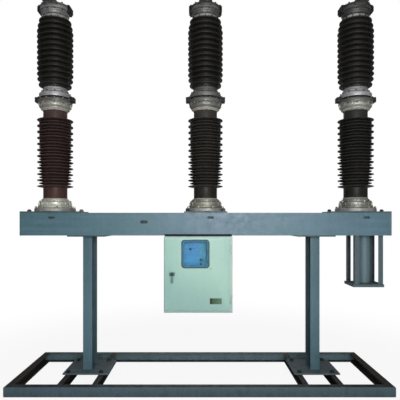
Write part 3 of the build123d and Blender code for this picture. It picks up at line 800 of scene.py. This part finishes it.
# ----------------------------------------------------------------------------
# foot plates, legs, head plates
# ----------------------------------------------------------------------------
dress("foot_plates", M["plate"], 1.6)
dress("leg_head_plates", M["head"], 1.4)
fbolts, lweld = Shape(), Shape()
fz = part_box("foot_plates")[1].z * 1000
for side in ("left", "right"):
    lo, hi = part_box(side + "_leg")
    x0, x1, y0, y1, z0, z1 = lo.x * 1000, hi.x * 1000, lo.y * 1000, hi.y * 1000, lo.z * 1000, hi.z * 1000
    xc, tf, tw, rf = (x0 + x1) / 2, 10.0, 7.0, 11.0
    prof = []

    def arc(cx, cy, r, a0, a1, n=4):
        for i in range(n + 1):
            a = math.radians(a0 + (a1 - a0) * i / n)
            prof.append((cx + r * math.cos(a), cy + r * math.sin(a)))
    e = 1.5
    arc(x0 + e, y0 + e, e, 180, 270)
    arc(x1 - e, y0 + e, e, 270, 360)
    arc(x1 - e, y0 + tf - e, e, 0, 90)
    arc(xc + tw / 2 + rf, y0 + tf + rf, rf, 270, 180)
    arc(xc + tw / 2 + rf, y1 - tf - rf, rf, 180, 90)
    arc(x1 - e, y1 - tf + e, e, 270, 360)
    arc(x1 - e, y1 - e, e, 0, 90)
    arc(x0 + e, y1 - e, e, 90, 180)
    arc(x0 + e, y1 - tf + e, e, 180, 270)
    arc(xc - tw / 2 - rf, y1 - tf - rf, rf, 90, 0)
    arc(xc - tw / 2 - rf, y0 + tf + rf, rf, 360, 270)
    arc(x0 + e, y0 + tf - e, e, 90, 180)
    sh = Shape()
    sh.rings([[(x, y, z0) for x, y in prof], [(x, y, z1) for x, y in prof]], cap0=True, cap1=True)
    sh.make(side + "_leg_section", [M["leg"]], replaces=[side + "_leg"], slot="leg_paint")
    for z, s in ((z0, 1), (z1, -1)):
        for y in (y0, y1):
            lweld.bead([(x0 + 1, y, z + s * 2), (x1 - 1, y, z + s * 2)], r=4.2, seed=int(x0) % 97 + int(y) + 300)
        for y in (y0 + tf + 1, y1 - tf - 1):
            lweld.bead([(x0 + 1, y, z + s * 2), (xc - tw / 2 - 4, y, z + s * 2)], r=3.6, seed=int(y) + 411)
            lweld.bead([(xc + tw / 2 + 4, y, z + s * 2), (x1 - 1, y, z + s * 2)], r=3.6, seed=int(y) + 431)
        for x in (xc - tw / 2, xc + tw / 2):
            lweld.bead([(x, y0 + tf + 6, z + s * 2), (x, y1 - tf - 6, z + s * 2)], r=3.4, seed=int(x) % 91 + 77)
    pair = [c for c in cross_x if (c[2] > 0) == (side == "left")]
    for a, b, _ in pair:
        for y in (-158.0, 158.0):
            fbolts.hexbolt(((a + b) / 2, y, fz), af=30, h=12.5, washer=(18.5, 3.0), stub=5.0, spin=a + y)
lweld.make("leg_welds", [M["weld"]], slot="leg_paint")
fbolts.make("foot_plate_bolts", [M["bolt_dark"]], slot="hinge_steel")

# ----------------------------------------------------------------------------
# beam, its end plates, pole plates
# ----------------------------------------------------------------------------
dress("crossbeam", M["beam"], 3.0, seg=3)
dress("beam_end_plates", M["beam"], 2.0)
blo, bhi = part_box("crossbeam")
BX0, BX1, BY0, BY1, BZ0, BZ1 = (blo.x * 1000, bhi.x * 1000, blo.y * 1000, bhi.y * 1000, blo.z * 1000, bhi.z * 1000)
bw = Shape()
for x, s in ((BX0, -1), (BX1, 1)):
    xx = x + s * 0.3
    bw.bead([(xx, BY0 + 0.9, BZ0 + 6), (xx, BY0 + 0.9, BZ1 - 6)], r=2.6, seed=501)
    bw.bead([(xx, BY1 - 0.9, BZ0 + 6), (xx, BY1 - 0.9, BZ1 - 6)], r=2.6, seed=502)
    bw.bead([(xx, BY0 + 4, BZ1 - 0.9), (xx, BY1 - 4, BZ1 - 0.9)], r=2.6, seed=503)
    bw.bead([(xx, BY0 + 4, BZ0 + 0.9), (xx, BY1 - 4, BZ0 + 0.9)], r=2.6, seed=504)
# strips behind the beam's slots in a dark paint: painted shade for the slots' hollow inside
M["backing"] = paint("slot_shade_backing_paint", lin(54, 78, 84), lin(46, 68, 74), rough=0.55, dirt=lin(34, 42, 44), grime=0.3)
bk = Shape()
for x, w, h, z in ((-1285, 55, 20, 1378), (40, 55, 20, 1378), (1341, 55, 20, 1378), (-514, 66, 26, 1341)):
    bk.box(x - w / 2 - 14, x + w / 2 + 14, BY0 + 8.3, BY0 + 11.3, z - h / 2 - 10, z + h / 2 + 10, bev=0.5)
bk.make("slot_backing_strips", [M["backing"]], slot="beam_paint")
bw.make("beam_end_welds", [M["beam"]], slot="beam_paint")

pole_bolts = Shape()
pz1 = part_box("left_pole_plate")[1].z * 1000
for side in SIDES:
    dress(side + "_pole_plate", M["pole_plate"], 1.5)
    px = POLE_X[side]
    if side == "middle":
        spots = [(-150, -118), (150, -118), (-150, 118), (150, 118)]
    else:
        spots = [(-226, 0), (226, 0)]
    for dx, dy in spots:
        pole_bolts.hexbolt((px + dx, dy, pz1), af=30, h=13, washer=(18.5, 3.2), stub=4.5, spin=dx * 0.1)
pole_bolts.make("pole_plate_bolts", [M["bolt_dark"]], slot="hinge_steel")


# ----------------------------------------------------------------------------
# poles
# ----------------------------------------------------------------------------
def shed(zc, big, core, dn=14.0, up=12.0, tip_dn=4.0, tip_up=2.0, root=3.0):
    """One shed of an insulator, foot to top, with a rounded rim and soft roots."""
    span = big - core
    return [(core, zc - dn - root * 0.35), (core + root * 0.35, zc - dn + 0.3), (core + root * 1.2, zc - dn + 1.6),
            (core + span * 0.45, zc - dn * 0.66 - tip_dn * 0.34 + 1.4), (core + span * 0.8, zc - tip_dn - 1.6),
            (big - 3.2, zc - tip_dn + 0.1), (big - 0.9, zc - tip_dn + 1.0), (big, zc - (tip_dn - tip_up) / 2),
            (big - 0.9, zc + tip_up - 0.9), (big - 3.2, zc + tip_up),
            (core + span * 0.5, zc + up * 0.58 + tip_up * 0.42 - 0.6), (core + root * 1.2, zc + up - 1.6),
            (core + root * 0.35, zc + up - 0.3), (core, zc + up + root * 0.35)]


def loft_support():
    p = [(0, 1537.0), (96, 1537.0), (99, 1539.0), (100.0, 1542.0), (100.0, 1628.0)]
    for i in range(12):
        z = 1648.0 + i * 51.6
        p += shed(z, 150.0, 100.0)
        if i < 11:
            p += shed(z + 25.8, 134.0, 100.0, dn=12.0, up=10.0, root=2.0)
    p += [(100.0, 2232.0), (100.0, 2292.0), (98.0, 2296.0), (95.0, 2297.0), (0, 2297.0)]
    return p


def loft_upper():
    rad = [137.0, 148.0, 151.0] + [151.0] * 7 + [151.0, 145.0, 135.0]
    p = [(0, 2492.0), (104, 2492.0), (108, 2492.6), (111.3, 2494.5), (112.0, 2497.0)]
    for i, r in enumerate(rad):
        if i == 0:
            p += shed(2519.0, r, 112.0, dn=13.0, up=12.0, tip_dn=9.0, tip_up=4.0, root=4.5)[1:]
        elif i == len(rad) - 1:
            p += shed(2519.0 + i * 45.5, r, 112.0, dn=12.0, up=12.0, tip_dn=5.0, tip_up=6.0, root=3.0)[:-1]
        else:
            p += shed(2519.0 + i * 45.5, r, 112.0, dn=12.0, up=12.0, tip_dn=4.5, tip_up=3.5, root=5.0)
    p += [(112.0, 3079.4), (109.5, 3081.0), (0, 3081.0)]
    return p


BASE_PROFILE = [(0, 1430), (169, 1430), (171.4, 1431.2), (172, 1434), (172, 1443), (171.6, 1447), (170.2, 1456),
                (168.6, 1458.6), (165, 1460), (150, 1462), (144.8, 1463.6), (143, 1467), (143, 1476.5), (142, 1479.4),
                (137.5, 1482), (135.2, 1484.5), (134.5, 1488), (134.5, 1508), (133.4, 1511), (130, 1512.6),
                (121, 1514), (118, 1516), (117, 1519), (117, 1528), (116, 1531), (113.4, 1534.4), (110, 1536.6),
                (104, 1537), (0, 1537)]
MID_FOOT = [(0, 2297), (98, 2297), (101.5, 2297.4), (104.5, 2299.2), (117.5, 2305.8), (120, 2308)]
MID_LOWER = [(120, 2308), (120.8, 2312.5), (124.2, 2319), (131, 2325.6), (133.4, 2329), (134, 2333), (134, 2349.5), (135, 2352.4),
             (140.5, 2355.6), (142.6, 2358)]
MID_FLANGE = [(142.6, 2358), (143, 2361), (143, 2381.6), (142, 2384.4), (139, 2385.6), (125, 2386.4), (122.6, 2387.4)]
MID_SEAM = [(122.6, 2387.4), (122, 2389), (122, 2400.6), (122.6, 2402.8), (130.6, 2404.6)]
MID_UPPER = [(130.6, 2404.6), (133.4, 2406.2), (134, 2409), (134, 2435.4), (133, 2438), (128, 2442), (123, 2446.4), (116, 2449),
             (112.8, 2451), (112, 2454), (112, 2463), (110.6, 2466), (104, 2469), (102.6, 2471.6), (102.4, 2476),
             (102.0, 2485), (100.6, 2488.4), (99.4, 2489.6), (99, 2492), (0, 2492)]
CAP_PROFILE = [(0, 3081), (97, 3081), (101, 3081.6), (102.8, 3083.4), (103, 3086), (103, 3102), (104.4, 3106), (109, 3109.4),
               (113, 3111.6), (114.4, 3114.6), (115.6, 3124), (117, 3128.4), (119.4, 3131.2), (120, 3135), (120, 3144),
               (121, 3147.6), (124.4, 3149.4), (126.4, 3151), (127, 3154), (127, 3170.6), (126, 3173.4), (122, 3174.6),
               (118.6, 3176.4), (118, 3179), (118, 3182), (118.8, 3184.4), (122, 3185.6), (126, 3186.6), (127, 3189),
               (127, 3192), (126, 3194.6), (120.5, 3197), (112, 3200), (105, 3204), (97, 3209), (86, 3213),
               (73, 3215.4), (58, 3216), (0, 3216)]


def polar(cx, cy, r, deg):
    a = math.radians(deg)
    return cx + r * math.cos(a), cy + r * math.sin(a)


def rib(sh, cx, cy, deg, r0, r1, z0, z1, width, mat=0, bev=1.4):
    """Upright rib standing out of a turned body."""
    m = Matrix.Translation((cx, cy, 0)) @ Matrix.Rotation(math.radians(deg), 4, "Z")
    sh.box(r0, r1, -width / 2, width / 2, z0, z1, bev=bev, seg=2, mat=mat, matrix=m)


def pad_outline(x, y0, y1, w, r=7.0):
    def f(inset):
        return rounded(x - w / 2 + inset, x + w / 2 - inset, y0 + inset, y1 - inset, max(1.0, r - inset), 4)
    return f


for side in SIDES:
    px = POLE_X[side]
    # support insulator
    sh = Shape()
    sup = loft_support()
    # the neck takes the darker neck glaze: painted shade
    sh.lathe(sup[:5], px, 0, seg=96, mat=2)
    sh.lathe(sup[4:], px, 0, seg=96)
    ring = 1551.0 if side == "right" else 1543.0
    sh.lathe([(97, 1537.2), (104.5, 1537.2), (105.0, 1538.0), (103.5, ring - 1.5), (99, ring)], px, 0, seg=96, mat=1)
    sh.lathe([(99, 2291.5), (103.5, 2293.0), (105.0, 2296.0), (104.5, 2296.8), (97, 2296.8)], px, 0, seg=96, mat=1)
    sh.make(side + "_support_porcelain", [M["brown_" + side], M["cement_grey" if side == "right" else "cement_and_painted_light"], M["neck_" + side]], replaces=[side + "_support_insulator"],
            slot="brown_porcelain")
    # upper insulator
    sh = Shape()
    sh.lathe(loft_upper(), px, 0, seg=96)
    sh.make(side + "_upper_porcelain", [M["black"]], replaces=[side + "_upper_insulator"], slot="black_porcelain")

    # pole base
    sh = Shape()
    sh.lathe(BASE_PROFILE[:8], px, 0, seg=96, mat=2)
    sh.lathe(BASE_PROFILE[7:], px, 0, seg=96)
    for k in range(8):
        deg = 22.5 + 45 * k
        x, y = polar(px, 0, 157.0, deg)
        sh.hexbolt((x, y, 1460.4), af=19, h=9.5, washer=(11.2, 2.2), stub=3.5, mat=1, spin=deg)
    for k in range(16):
        rib(sh, px, 0, 22.5 * k + 11.25, 126, 141.0, 1482, 1507, 7)
    for k in range(12):
        x, y = polar(px, 0, 126.0, 15 + 30 * k)
        sh.hexbolt((x, y, 1512.6), af=13, h=8, washer=(7.6, 1.6), stub=3.0, mat=1, spin=k * 0.7)
    sh.make(side + "_pole_base_casting", [M["base_" + side], M["bolt_light"], M["base_flange"]], replaces=[side + "_pole_base"], slot="cast_aluminium")

    # middle casting, with side lugs and the rear terminal
    sh = Shape()
    # the foot ring takes the light cement colour: painted light for the underside chamfer catching light from the
    # ground
    sh.lathe(MID_FOOT, px, 0, seg=96, mat=5)
    sh.lathe(MID_LOWER, px, 0, seg=96)
    sh.lathe(MID_FLANGE, px, 0, seg=96, mat=3)
    # the groove takes the dark sealant: partly painted shade
    sh.lathe(MID_SEAM, px, 0, seg=96, mat=4)
    sh.lathe(MID_UPPER, px, 0, seg=96, mat=6)
    for k in range(12):
        deg = 15 + 30 * k
        rib(sh, px, 0, deg + 15, 126, 138.5, 2331, 2357, 8)
        x, y = polar(px, 0, 132.5, deg)
        sh.hexbolt((x, y, 2385.4), af=15, h=8.5, washer=(8.6, 1.8), mat=1, spin=k)
        sh.hexbolt((x, y, 2356.6), axis=(0, 0, -1), af=15, h=8.5, washer=(8.6, 1.8), mat=1, spin=k)
        x, y = polar(px, 0, 121.0, deg)
        sh.hexbolt((x, y, 2446.2), af=13, h=7.5, washer=(7.6, 1.6), mat=1, spin=k * 0.5)
    for s in (-1, 1):
        xa, xb = sorted((px + s * 118, px + s * 169))
        sh.box(xa, xb, -32, 32, 2372, 2416, bev=5.0, seg=3, mat=2)
        xa, xb = sorted((px + s * 127, px + s * 147))
        sh.box(xa, xb, -22, 22, 2410, 2424, bev=2.5, mat=2)
    sh.holed_plate(pad_outline(px, 100, 210, 110), [(px + dx, 171 + dy, 7.0) for dx in (-22, 22) for dy in (-22, 22)],
                   2385, 2403, mat=6)
    sh.box(px - 40, px + 40, 112, 143, 2379, 2409, bev=4.0, seg=3, mat=6)
    sh.make(side + "_middle_casting_body", [M[{"left": "cast_left", "middle": "cast_middle"}.get(side, "cast")], M["bolt"], M["cast_dark"], M["cast_flange"], M["seam"], M["cement_and_painted_light"],
                                            M["cast_mid_middle" if side == "middle" else "cast_mid_side"]], replaces=[side + "_middle_casting"],
            slot="cast_aluminium")

    # top cap, with side lugs and the front terminal
    sh = Shape()
    sh.lathe(CAP_PROFILE[:6], px, 0, seg=96, mat=4)
    sh.lathe(CAP_PROFILE[5:], px, 0, seg=96)
    for k in range(12):
        deg = 15 + 30 * k
        x, y = polar(px, 0, 118.5, deg)
        sh.hexbolt((x, y, 3195.6), af=13, h=7.5, washer=(7.6, 1.6), mat=1, spin=k)
        sh.hexbolt((x, y, 3150.2), axis=(0, 0, -1), af=13, h=8.5, washer=(7.6, 1.6), mat=1, spin=k)
        rib(sh, px, 0, deg + 15, 100, 112.5, 3084, 3113, 7)
    for s in (-1, 1):
        xa, xb = sorted((px + s * 100, px + s * 134))
        sh.box(xa, xb, -46, 46, 3134, 3202, bev=4.0, seg=3, mat=2)
        xa, xb = sorted((px + s * 120, px + s * 142))
        sh.box(xa, xb, -46, 46, 3146, 3192, bev=4.0, seg=3, mat=2)
    sh.holed_plate(pad_outline(px, -210, -90, 110), [(px + dx, -171 + dy, 7.0) for dx in (-22, 22) for dy in (-22, 22)],
                   3174, 3192, mat=3)
    sh.box(px - 40, px + 40, -130, -100, 3170, 3198, bev=4.0, seg=3, mat=3)
    sh.make(side + "_top_cap_casting", [M[{"left": "cast_cap_left", "right": "cast_cap_right"}.get(side, "cast_cap")], M["bolt_dark"], M["cast_dark"], M["cast_flange"],
                                         M["cast_rim"]], replaces=[side + "_top_cap"],
            slot="cast_aluminium")

# ----------------------------------------------------------------------------
# opening spring bracket
# ----------------------------------------------------------------------------
dress("spring_bracket_posts", M["post"], 0.8)
dress("spring_bracket_tray", M["spring"], 1.5)
dress("spring_tube", M["tube"], 0.0)
slo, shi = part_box("spring_bracket_posts")
sx0, sx1, sy0, sy1, sz0, sz1 = [c * 1000 for c in (slo.x, shi.x, slo.y, shi.y, slo.z, shi.z)]
sw = Shape()
for x, s in ((sx0, 1), (sx1, -1)):
    for y, t in ((sy0, 1), (sy1, -1)):
        for z, zz in ((sz0, 1.6), (sz1, -1.6)):
            sw.bead([(x, y, z + zz), (x + s * 39, y, z + zz)], r=2.4, seed=int(x + y) % 89)
            sw.bead([(x, y + t * 3, z + zz), (x, y + t * 39, z + zz)], r=2.4, seed=int(x - y) % 83)
lo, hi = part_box("spring_tube")
tcx, tr = (lo.x + hi.x) * 500, (hi.x - lo.x) * 500
for z, zz in ((sz0, 1.8), (sz1, -1.8)):
    ring = [(tcx + (tr + 0.6) * math.cos(math.radians(a)), (tr + 0.6) * math.sin(math.radians(a)), z + zz)
            for a in range(0, 361, 12)]
    sw.bead(ring, r=2.6, seed=701)
sw.make("spring_bracket_welds", [M["spring"]], slot="leg_paint")

# ----------------------------------------------------------------------------
# cabinet
# ----------------------------------------------------------------------------
# near-black strip: painted shadow of the gap under the beam
dress("cabinet_top_gasket", M["strip"], 0.6)
clo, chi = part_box("cabinet_shell")
cx0, cx1, cy0, cy1, cz0, cz1 = [c * 1000 for c in (clo.x, chi.x, clo.y, chi.y, clo.z, chi.z)]
T = 3.0
sh = Shape()
ox0, ox1, oz0, oz1 = cx0 + 30, cx1 - 45, cz0 + 35, cz1 - 25


def cab(inset, r, y):
    return xz(rounded(cx0 + inset, cx1 - inset, cz0 + inset, cz1 - inset, r), y)


def opening(y, grow=0.0):
    return xz(rounded(ox0 - grow, ox1 + grow, oz0 - grow, oz1 + grow, 6.0 + grow), y)


shell_loops = [opening(cy0 + T), opening(cy0), cab(2.2, 1.2, cy0), cab(0.65, 1.8, cy0 + 0.65), cab(0, 2.2, cy0 + 2.2),
               cab(0, 2.2, cy1 - 2.2), cab(0.65, 1.8, cy1 - 0.65), cab(2.2, 1.2, cy1)]
sh.rings(shell_loops, cap1=True, flip=True)
inner_loops = [opening(cy0 + T), cab(T, 1.0, cy0 + T), cab(T, 1.0, cy1 - T)]
sh.rings(inner_loops, cap1=True)
sh.make("cabinet_housing", [M["shell"]], replaces=["cabinet_shell"], slot="cabinet_paint")

# door: folded tray with the window cut through it
dlo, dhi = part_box("cabinet_door")
dx0, dx1, dy0, dy1, dz0, dz1 = [c * 1000 for c in (dlo.x, dhi.x, dlo.y, dhi.y, dlo.z, dhi.z)]
glo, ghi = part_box("window_gasket")
wx, wz = (glo.x + ghi.x) * 500, (glo.z + ghi.z) * 500
ww, wh = (ghi.x - glo.x) * 1000, (ghi.z - glo.z) * 1000
DT = 2.5


def door_loop(inset, r, y):
    return xz(rounded(dx0 + inset, dx1 - inset, dz0 + inset, dz1 - inset, r), y)


def window_loop(inset, r, y):
    return xz(rounded(wx - ww / 2 + inset, wx + ww / 2 - inset, wz - wh / 2 + inset, wz + wh / 2 - inset, r), y)


sh = Shape()
sh.rings([window_loop(12, 22, dy0), door_loop(2.6, 1.6, dy0), door_loop(0.8, 2.2, dy0 + 0.7), door_loop(0, 2.6, dy0 + 2.6),
          door_loop(0, 2.6, dy1 - 0.4), door_loop(0.4, 2.4, dy1), door_loop(DT - 0.4, 1.2, dy1), door_loop(DT, 1.0, dy1 - 0.4),
          door_loop(DT, 1.0, dy0 + DT), window_loop(12, 22, dy0 + DT)], closed=True, flip=True)
sh.make("cabinet_door_leaf", [M["cabinet"]], body="door", replaces=["cabinet_door"], slot="cabinet_paint")

# window: rubber profile round the glass
sh = Shape()
y = dy0
sh.rings([window_loop(20, 16, y + 10), window_loop(20, 16, y + 0.8), window_loop(19.2, 17, y - 2.6),
          window_loop(16.5, 19, y - 4.6), window_loop(12, 22, y - 5.0), window_loop(6, 23, y - 4.8),
          window_loop(1.8, 25, y - 3.4), window_loop(0, 26, y - 1.6), window_loop(0, 26, y - 0.0),
          window_loop(12.0, 22, y - 0.0), window_loop(12.0, 22, y + 10)], closed=True, flip=False)
for i in range(4 * len(window_loop(0, 32, y))):
    sh.m[i] = 1          # lip against the glass
sh.make("window_rubber_frame", [M["gasket"], M["gasket_lip"]], body="door", replaces=["window_gasket"], slot="black_rubber")
dress("window_glass", M["glass"], 0.0)

# instrument panel with its controls
dress("instrument_panel", M["panel"], 0.0)
plo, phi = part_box("instrument_panel")
py = plo.y * 1000


def knob(sh, x, z, prof, mat, seg=32):
    """Turned piece standing out towards the door."""
    t = Shape()
    t.lathe(prof, 0, 0, seg=seg)
    m = Matrix.Translation((x, py, z)) @ Matrix.Rotation(math.radians(90), 4, "X")
    sh.add([tuple(m @ Vector(v)) for v in t.v], t.f, mat, t.cav)


ctl = Shape()
knob(ctl, -126, 1118, [(0, 0), (10.5, 0), (10.5, 3), (9.4, 4.5), (7.6, 5), (7.2, 14), (6.2, 16), (0, 16)], 0)
ctl.box(-128.0, -124.0, py - 22, py - 14, 1109, 1127, bev=1.5, mat=0)
knob(ctl, -81, 1118, [(0, 0), (11, 0), (11, 3.5), (9.8, 5), (8.2, 5.2), (8, 6.5), (0, 6.5)], 3)
knob(ctl, -81, 1118, [(0, 6), (7.7, 6), (7.1, 9.5), (4.8, 12.2), (0, 13.4)], 2)
for z, k in ((1028, 1.0), (995, 0.68)):
    knob(ctl, -39, z, [(0, 0), (12.5 * k, 0), (12.5 * k, 3), (11 * k, 4.2), (8.6 * k, 4.4), (8.4 * k, 9), (7.4 * k, 10.2), (0, 10.4)], 0)
for x in (-178, 4):
    for z in (1176, 985):
        knob(ctl, x, z, [(0, 0), (4.6, 0), (4.2, 1.6), (2.6, 2.6), (0, 2.9)], 1, seg=16)
M["lamp"] = rubber("lamp_lens", lin(172, 214, 236), lin(150, 198, 226), rough=0.25)
M["knob"] = rubber("knob_plastic", lin(40, 84, 116), lin(48, 94, 128), rough=0.4)
M["rim"] = metal("lamp_rim", lin(112, 168, 204), lin(98, 152, 190), rough=0.4, metallic=0.4)
ctl.make("panel_controls", [M["knob"], M["hinge"], M["lamp"], M["rim"]], slot="lock_metal")

# hinges, lock, nameplate, screws
dress("cabinet_hinge_leaves", M["shell"], 0.4)
dress("door_hinge_knuckles", M["cabinet"], 0.4)
dress("lock_body", M["lock"], 0.5)
hlo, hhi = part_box("lock_handle")
hx, hx0, hx1 = (hlo.x + hhi.x) * 500, hlo.x * 1000, hhi.x * 1000
hy0, hy1, hz0, hz1 = hlo.y * 1000, hhi.y * 1000, hlo.z * 1000, hhi.z * 1000
hzc = hz1 - 14.0


def bar_loops(x0, x1, z0, z1, r, back, steps):
    return [xz(rounded(x0 + i, x1 - i, z0 + i, z1 - i, max(1.0, r - i)), back - d) for i, d in steps]


sh = Shape()
sh.rings(bar_loops(hx0, hx1, hzc - 14, hz1, 8, hy0 + 13.5,
                   [(1.2, 0), (0, 1.4), (0, 9.4), (0.8, 11.2), (2.4, 12.4), (4.6, 12.9)]), cap0=True, cap1=True)
sh.rings(bar_loops(hx - 9.5, hx + 9.5, hzc - 11.5, hzc + 11.5, 7, hy0 + 1.0, [(0, 0), (0, 0.6), (0.8, 1.0)]), cap0=True, cap1=True, mat=2)
sh.rings(bar_loops(hx - 9, hx + 9, hz0, hzc - 2, 8, hy0 + 10,
                   [(1.0, 0), (0, 1.2), (0, 5.6), (0.9, 7.8), (2.8, 9.4), (5.0, 9.7)]), cap0=True, cap1=True, mat=1)
t = Shape()
t.lathe([(0, 0), (4, 0), (4, hy1 - hy0 - 13.0), (0, hy1 - hy0 - 13.0)], seg=24)
m = Matrix.Translation((hx, hy1, hzc)) @ Matrix.Rotation(math.radians(90), 4, "X")
sh.add([tuple(m @ Vector(v)) for v in t.v], t.f, 0)
sh.make("lock_handle_lever", [M["lock"], M["lever"], M["core"]], body="handle", replaces=["lock_handle"], slot="lock_metal")
nlo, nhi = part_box("nameplate")
nx0, nx1, ny0, ny1, nz0, nz1 = [c * 1000 for c in (nlo.x, nhi.x, nlo.y, nhi.y, nlo.z, nhi.z)]
sh = Shape()
sh.rings([xz(rounded(nx0, nx1, nz0, nz1, 3), ny1), xz(rounded(nx0, nx1, nz0, nz1, 3), ny0 + 0.4),
          xz(rounded(nx0 + 0.4, nx1 - 0.4, nz0 + 0.4, nz1 - 0.4, 2.8), ny0 + 0.1)], cap0=True, cap1=True, flip=False)
for x in (nx0 + 2.6, nx1 - 2.6):
    for z in (nz0 + 2.6, nz1 - 2.6):
        t = Shape()
        t.lathe([(0, 0), (1.5, 0), (1.2, 0.6), (0, 0.9)], seg=12)
        m = Matrix.Translation((x, ny0 + 0.2, z)) @ Matrix.Rotation(math.radians(90), 4, "X")
        sh.add([tuple(m @ Vector(v)) for v in t.v], t.f, 1)
sh.make("nameplate_blank", [M["nameplate"], M["hinge"]], body="door", replaces=["nameplate"], slot="plate_metal")

sc = Shape()
for x, z, r, coat in ((-57, 738, 4.5, 0), (-57, 658, 4.5, 0), (42, 962, 4.0, 1)):
    t = Shape()
    t.lathe([(0, 0), (r, 0), (r * 0.92, 1.2), (r * 0.6, 2.1), (0, 2.4)], seg=20)
    m = Matrix.Translation((x, dy0, z)) @ Matrix.Rotation(math.radians(90), 4, "X")
    sc.add([tuple(m @ Vector(v)) for v in t.v], t.f, coat)
sc.make("door_screws", [M["cabinet"], M["screw_dark"]], body="door", slot="hinge_steel")

# ----------------------------------------------------------------------------
# floor, light
# ----------------------------------------------------------------------------
fm, nt, b = new_material("floor")
b.inputs["Base Color"].default_value = (0.86, 0.86, 0.85, 1)
b.inputs["Roughness"].default_value = 0.9
b.inputs["Specular IOR Level"].default_value = 0.1
obj = node(nt, "ShaderNodeTexCoord").outputs["Object"]
dist = node(nt, "ShaderNodeVectorMath", {0: obj}, operation="LENGTH").outputs["Value"]
glow = node(nt, "ShaderNodeEmission", {"Color": (1, 1, 1, 1), "Strength": 1.0})
far = node(nt, "ShaderNodeMixShader", {0: remap(nt, dist, 1.6, 4.0, 0.90, 1.0), 1: b.outputs[0], 2: glow.outputs[0]})
seen_by = nt.nodes.new("ShaderNodeLightPath")
pick = node(nt, "ShaderNodeMixShader", {0: seen_by.outputs["Is Camera Ray"], 1: b.outputs[0], 2: far.outputs[0]})
nt.links.new(pick.outputs[0], next(n for n in nt.nodes if n.type == "OUTPUT_MATERIAL").inputs[0])
me = bpy.data.meshes.new("floor")
S = 60.0
me.from_pydata([(-S, -S, 0), (S, -S, 0), (S, S, 0), (-S, S, 0)], [], [(0, 1, 2, 3)])
me.materials.append(fm)
floor = bpy.data.objects.new("floor", me)
bpy.context.scene.collection.objects.link(floor)
floor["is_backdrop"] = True


def area(name, loc, target, size, power, colour=(1, 1, 1), size_y=None):
    d = bpy.data.lights.new(name, "AREA")
    d.shape = "RECTANGLE"
    d.size = size
    d.size_y = size_y or size
    d.energy = power
    d.color = colour
    o = bpy.data.objects.new(name, d)
    o.location = loc
    o.rotation_euler = (Vector(target) - Vector(loc)).to_track_quat("-Z", "Y").to_euler()
    bpy.context.scene.collection.objects.link(o)
    return o


area("key", (0.55, -5.4, 2.2), (0.1, 0, 1.5), 2.4, 142, size_y=2.0)
area("top", (0, -1.6, 6.2), (0, 0, 1.0), 4.0, 38)
area("back", (0.0, 6.5, 3.2), (0, 0, 1.5), 4.0, 36)

world = bpy.data.worlds.new("world")
bpy.context.scene.world = world
world.use_nodes = True
wt = world.node_tree
wt.nodes.clear()
wo = wt.nodes.new("ShaderNodeOutputWorld")
seen = node(wt, "ShaderNodeBackground", {"Color": (1, 1, 1, 1), "Strength": 1.0})
direction = node(wt, "ShaderNodeTexCoord").outputs["Generated"]
dsep = node(wt, "ShaderNodeSeparateXYZ", {"Vector": direction})
front = remap(wt, dsep.outputs[1], 0.35, -0.9, 0.11, 0.29)
amb = node(wt, "ShaderNodeBackground", {"Color": (0.97, 0.99, 1.0, 1), "Strength": front})
lp = wt.nodes.new("ShaderNodeLightPath")
ws = node(wt, "ShaderNodeMixShader", {0: lp.outputs["Is Camera Ray"], 1: amb.outputs[0], 2: seen.outputs[0]})
wt.links.new(ws.outputs[0], wo.inputs[0])

bpy.context.scene.view_settings.view_transform = "Standard"
bpy.context.scene.view_settings.look = "None"

lo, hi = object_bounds()
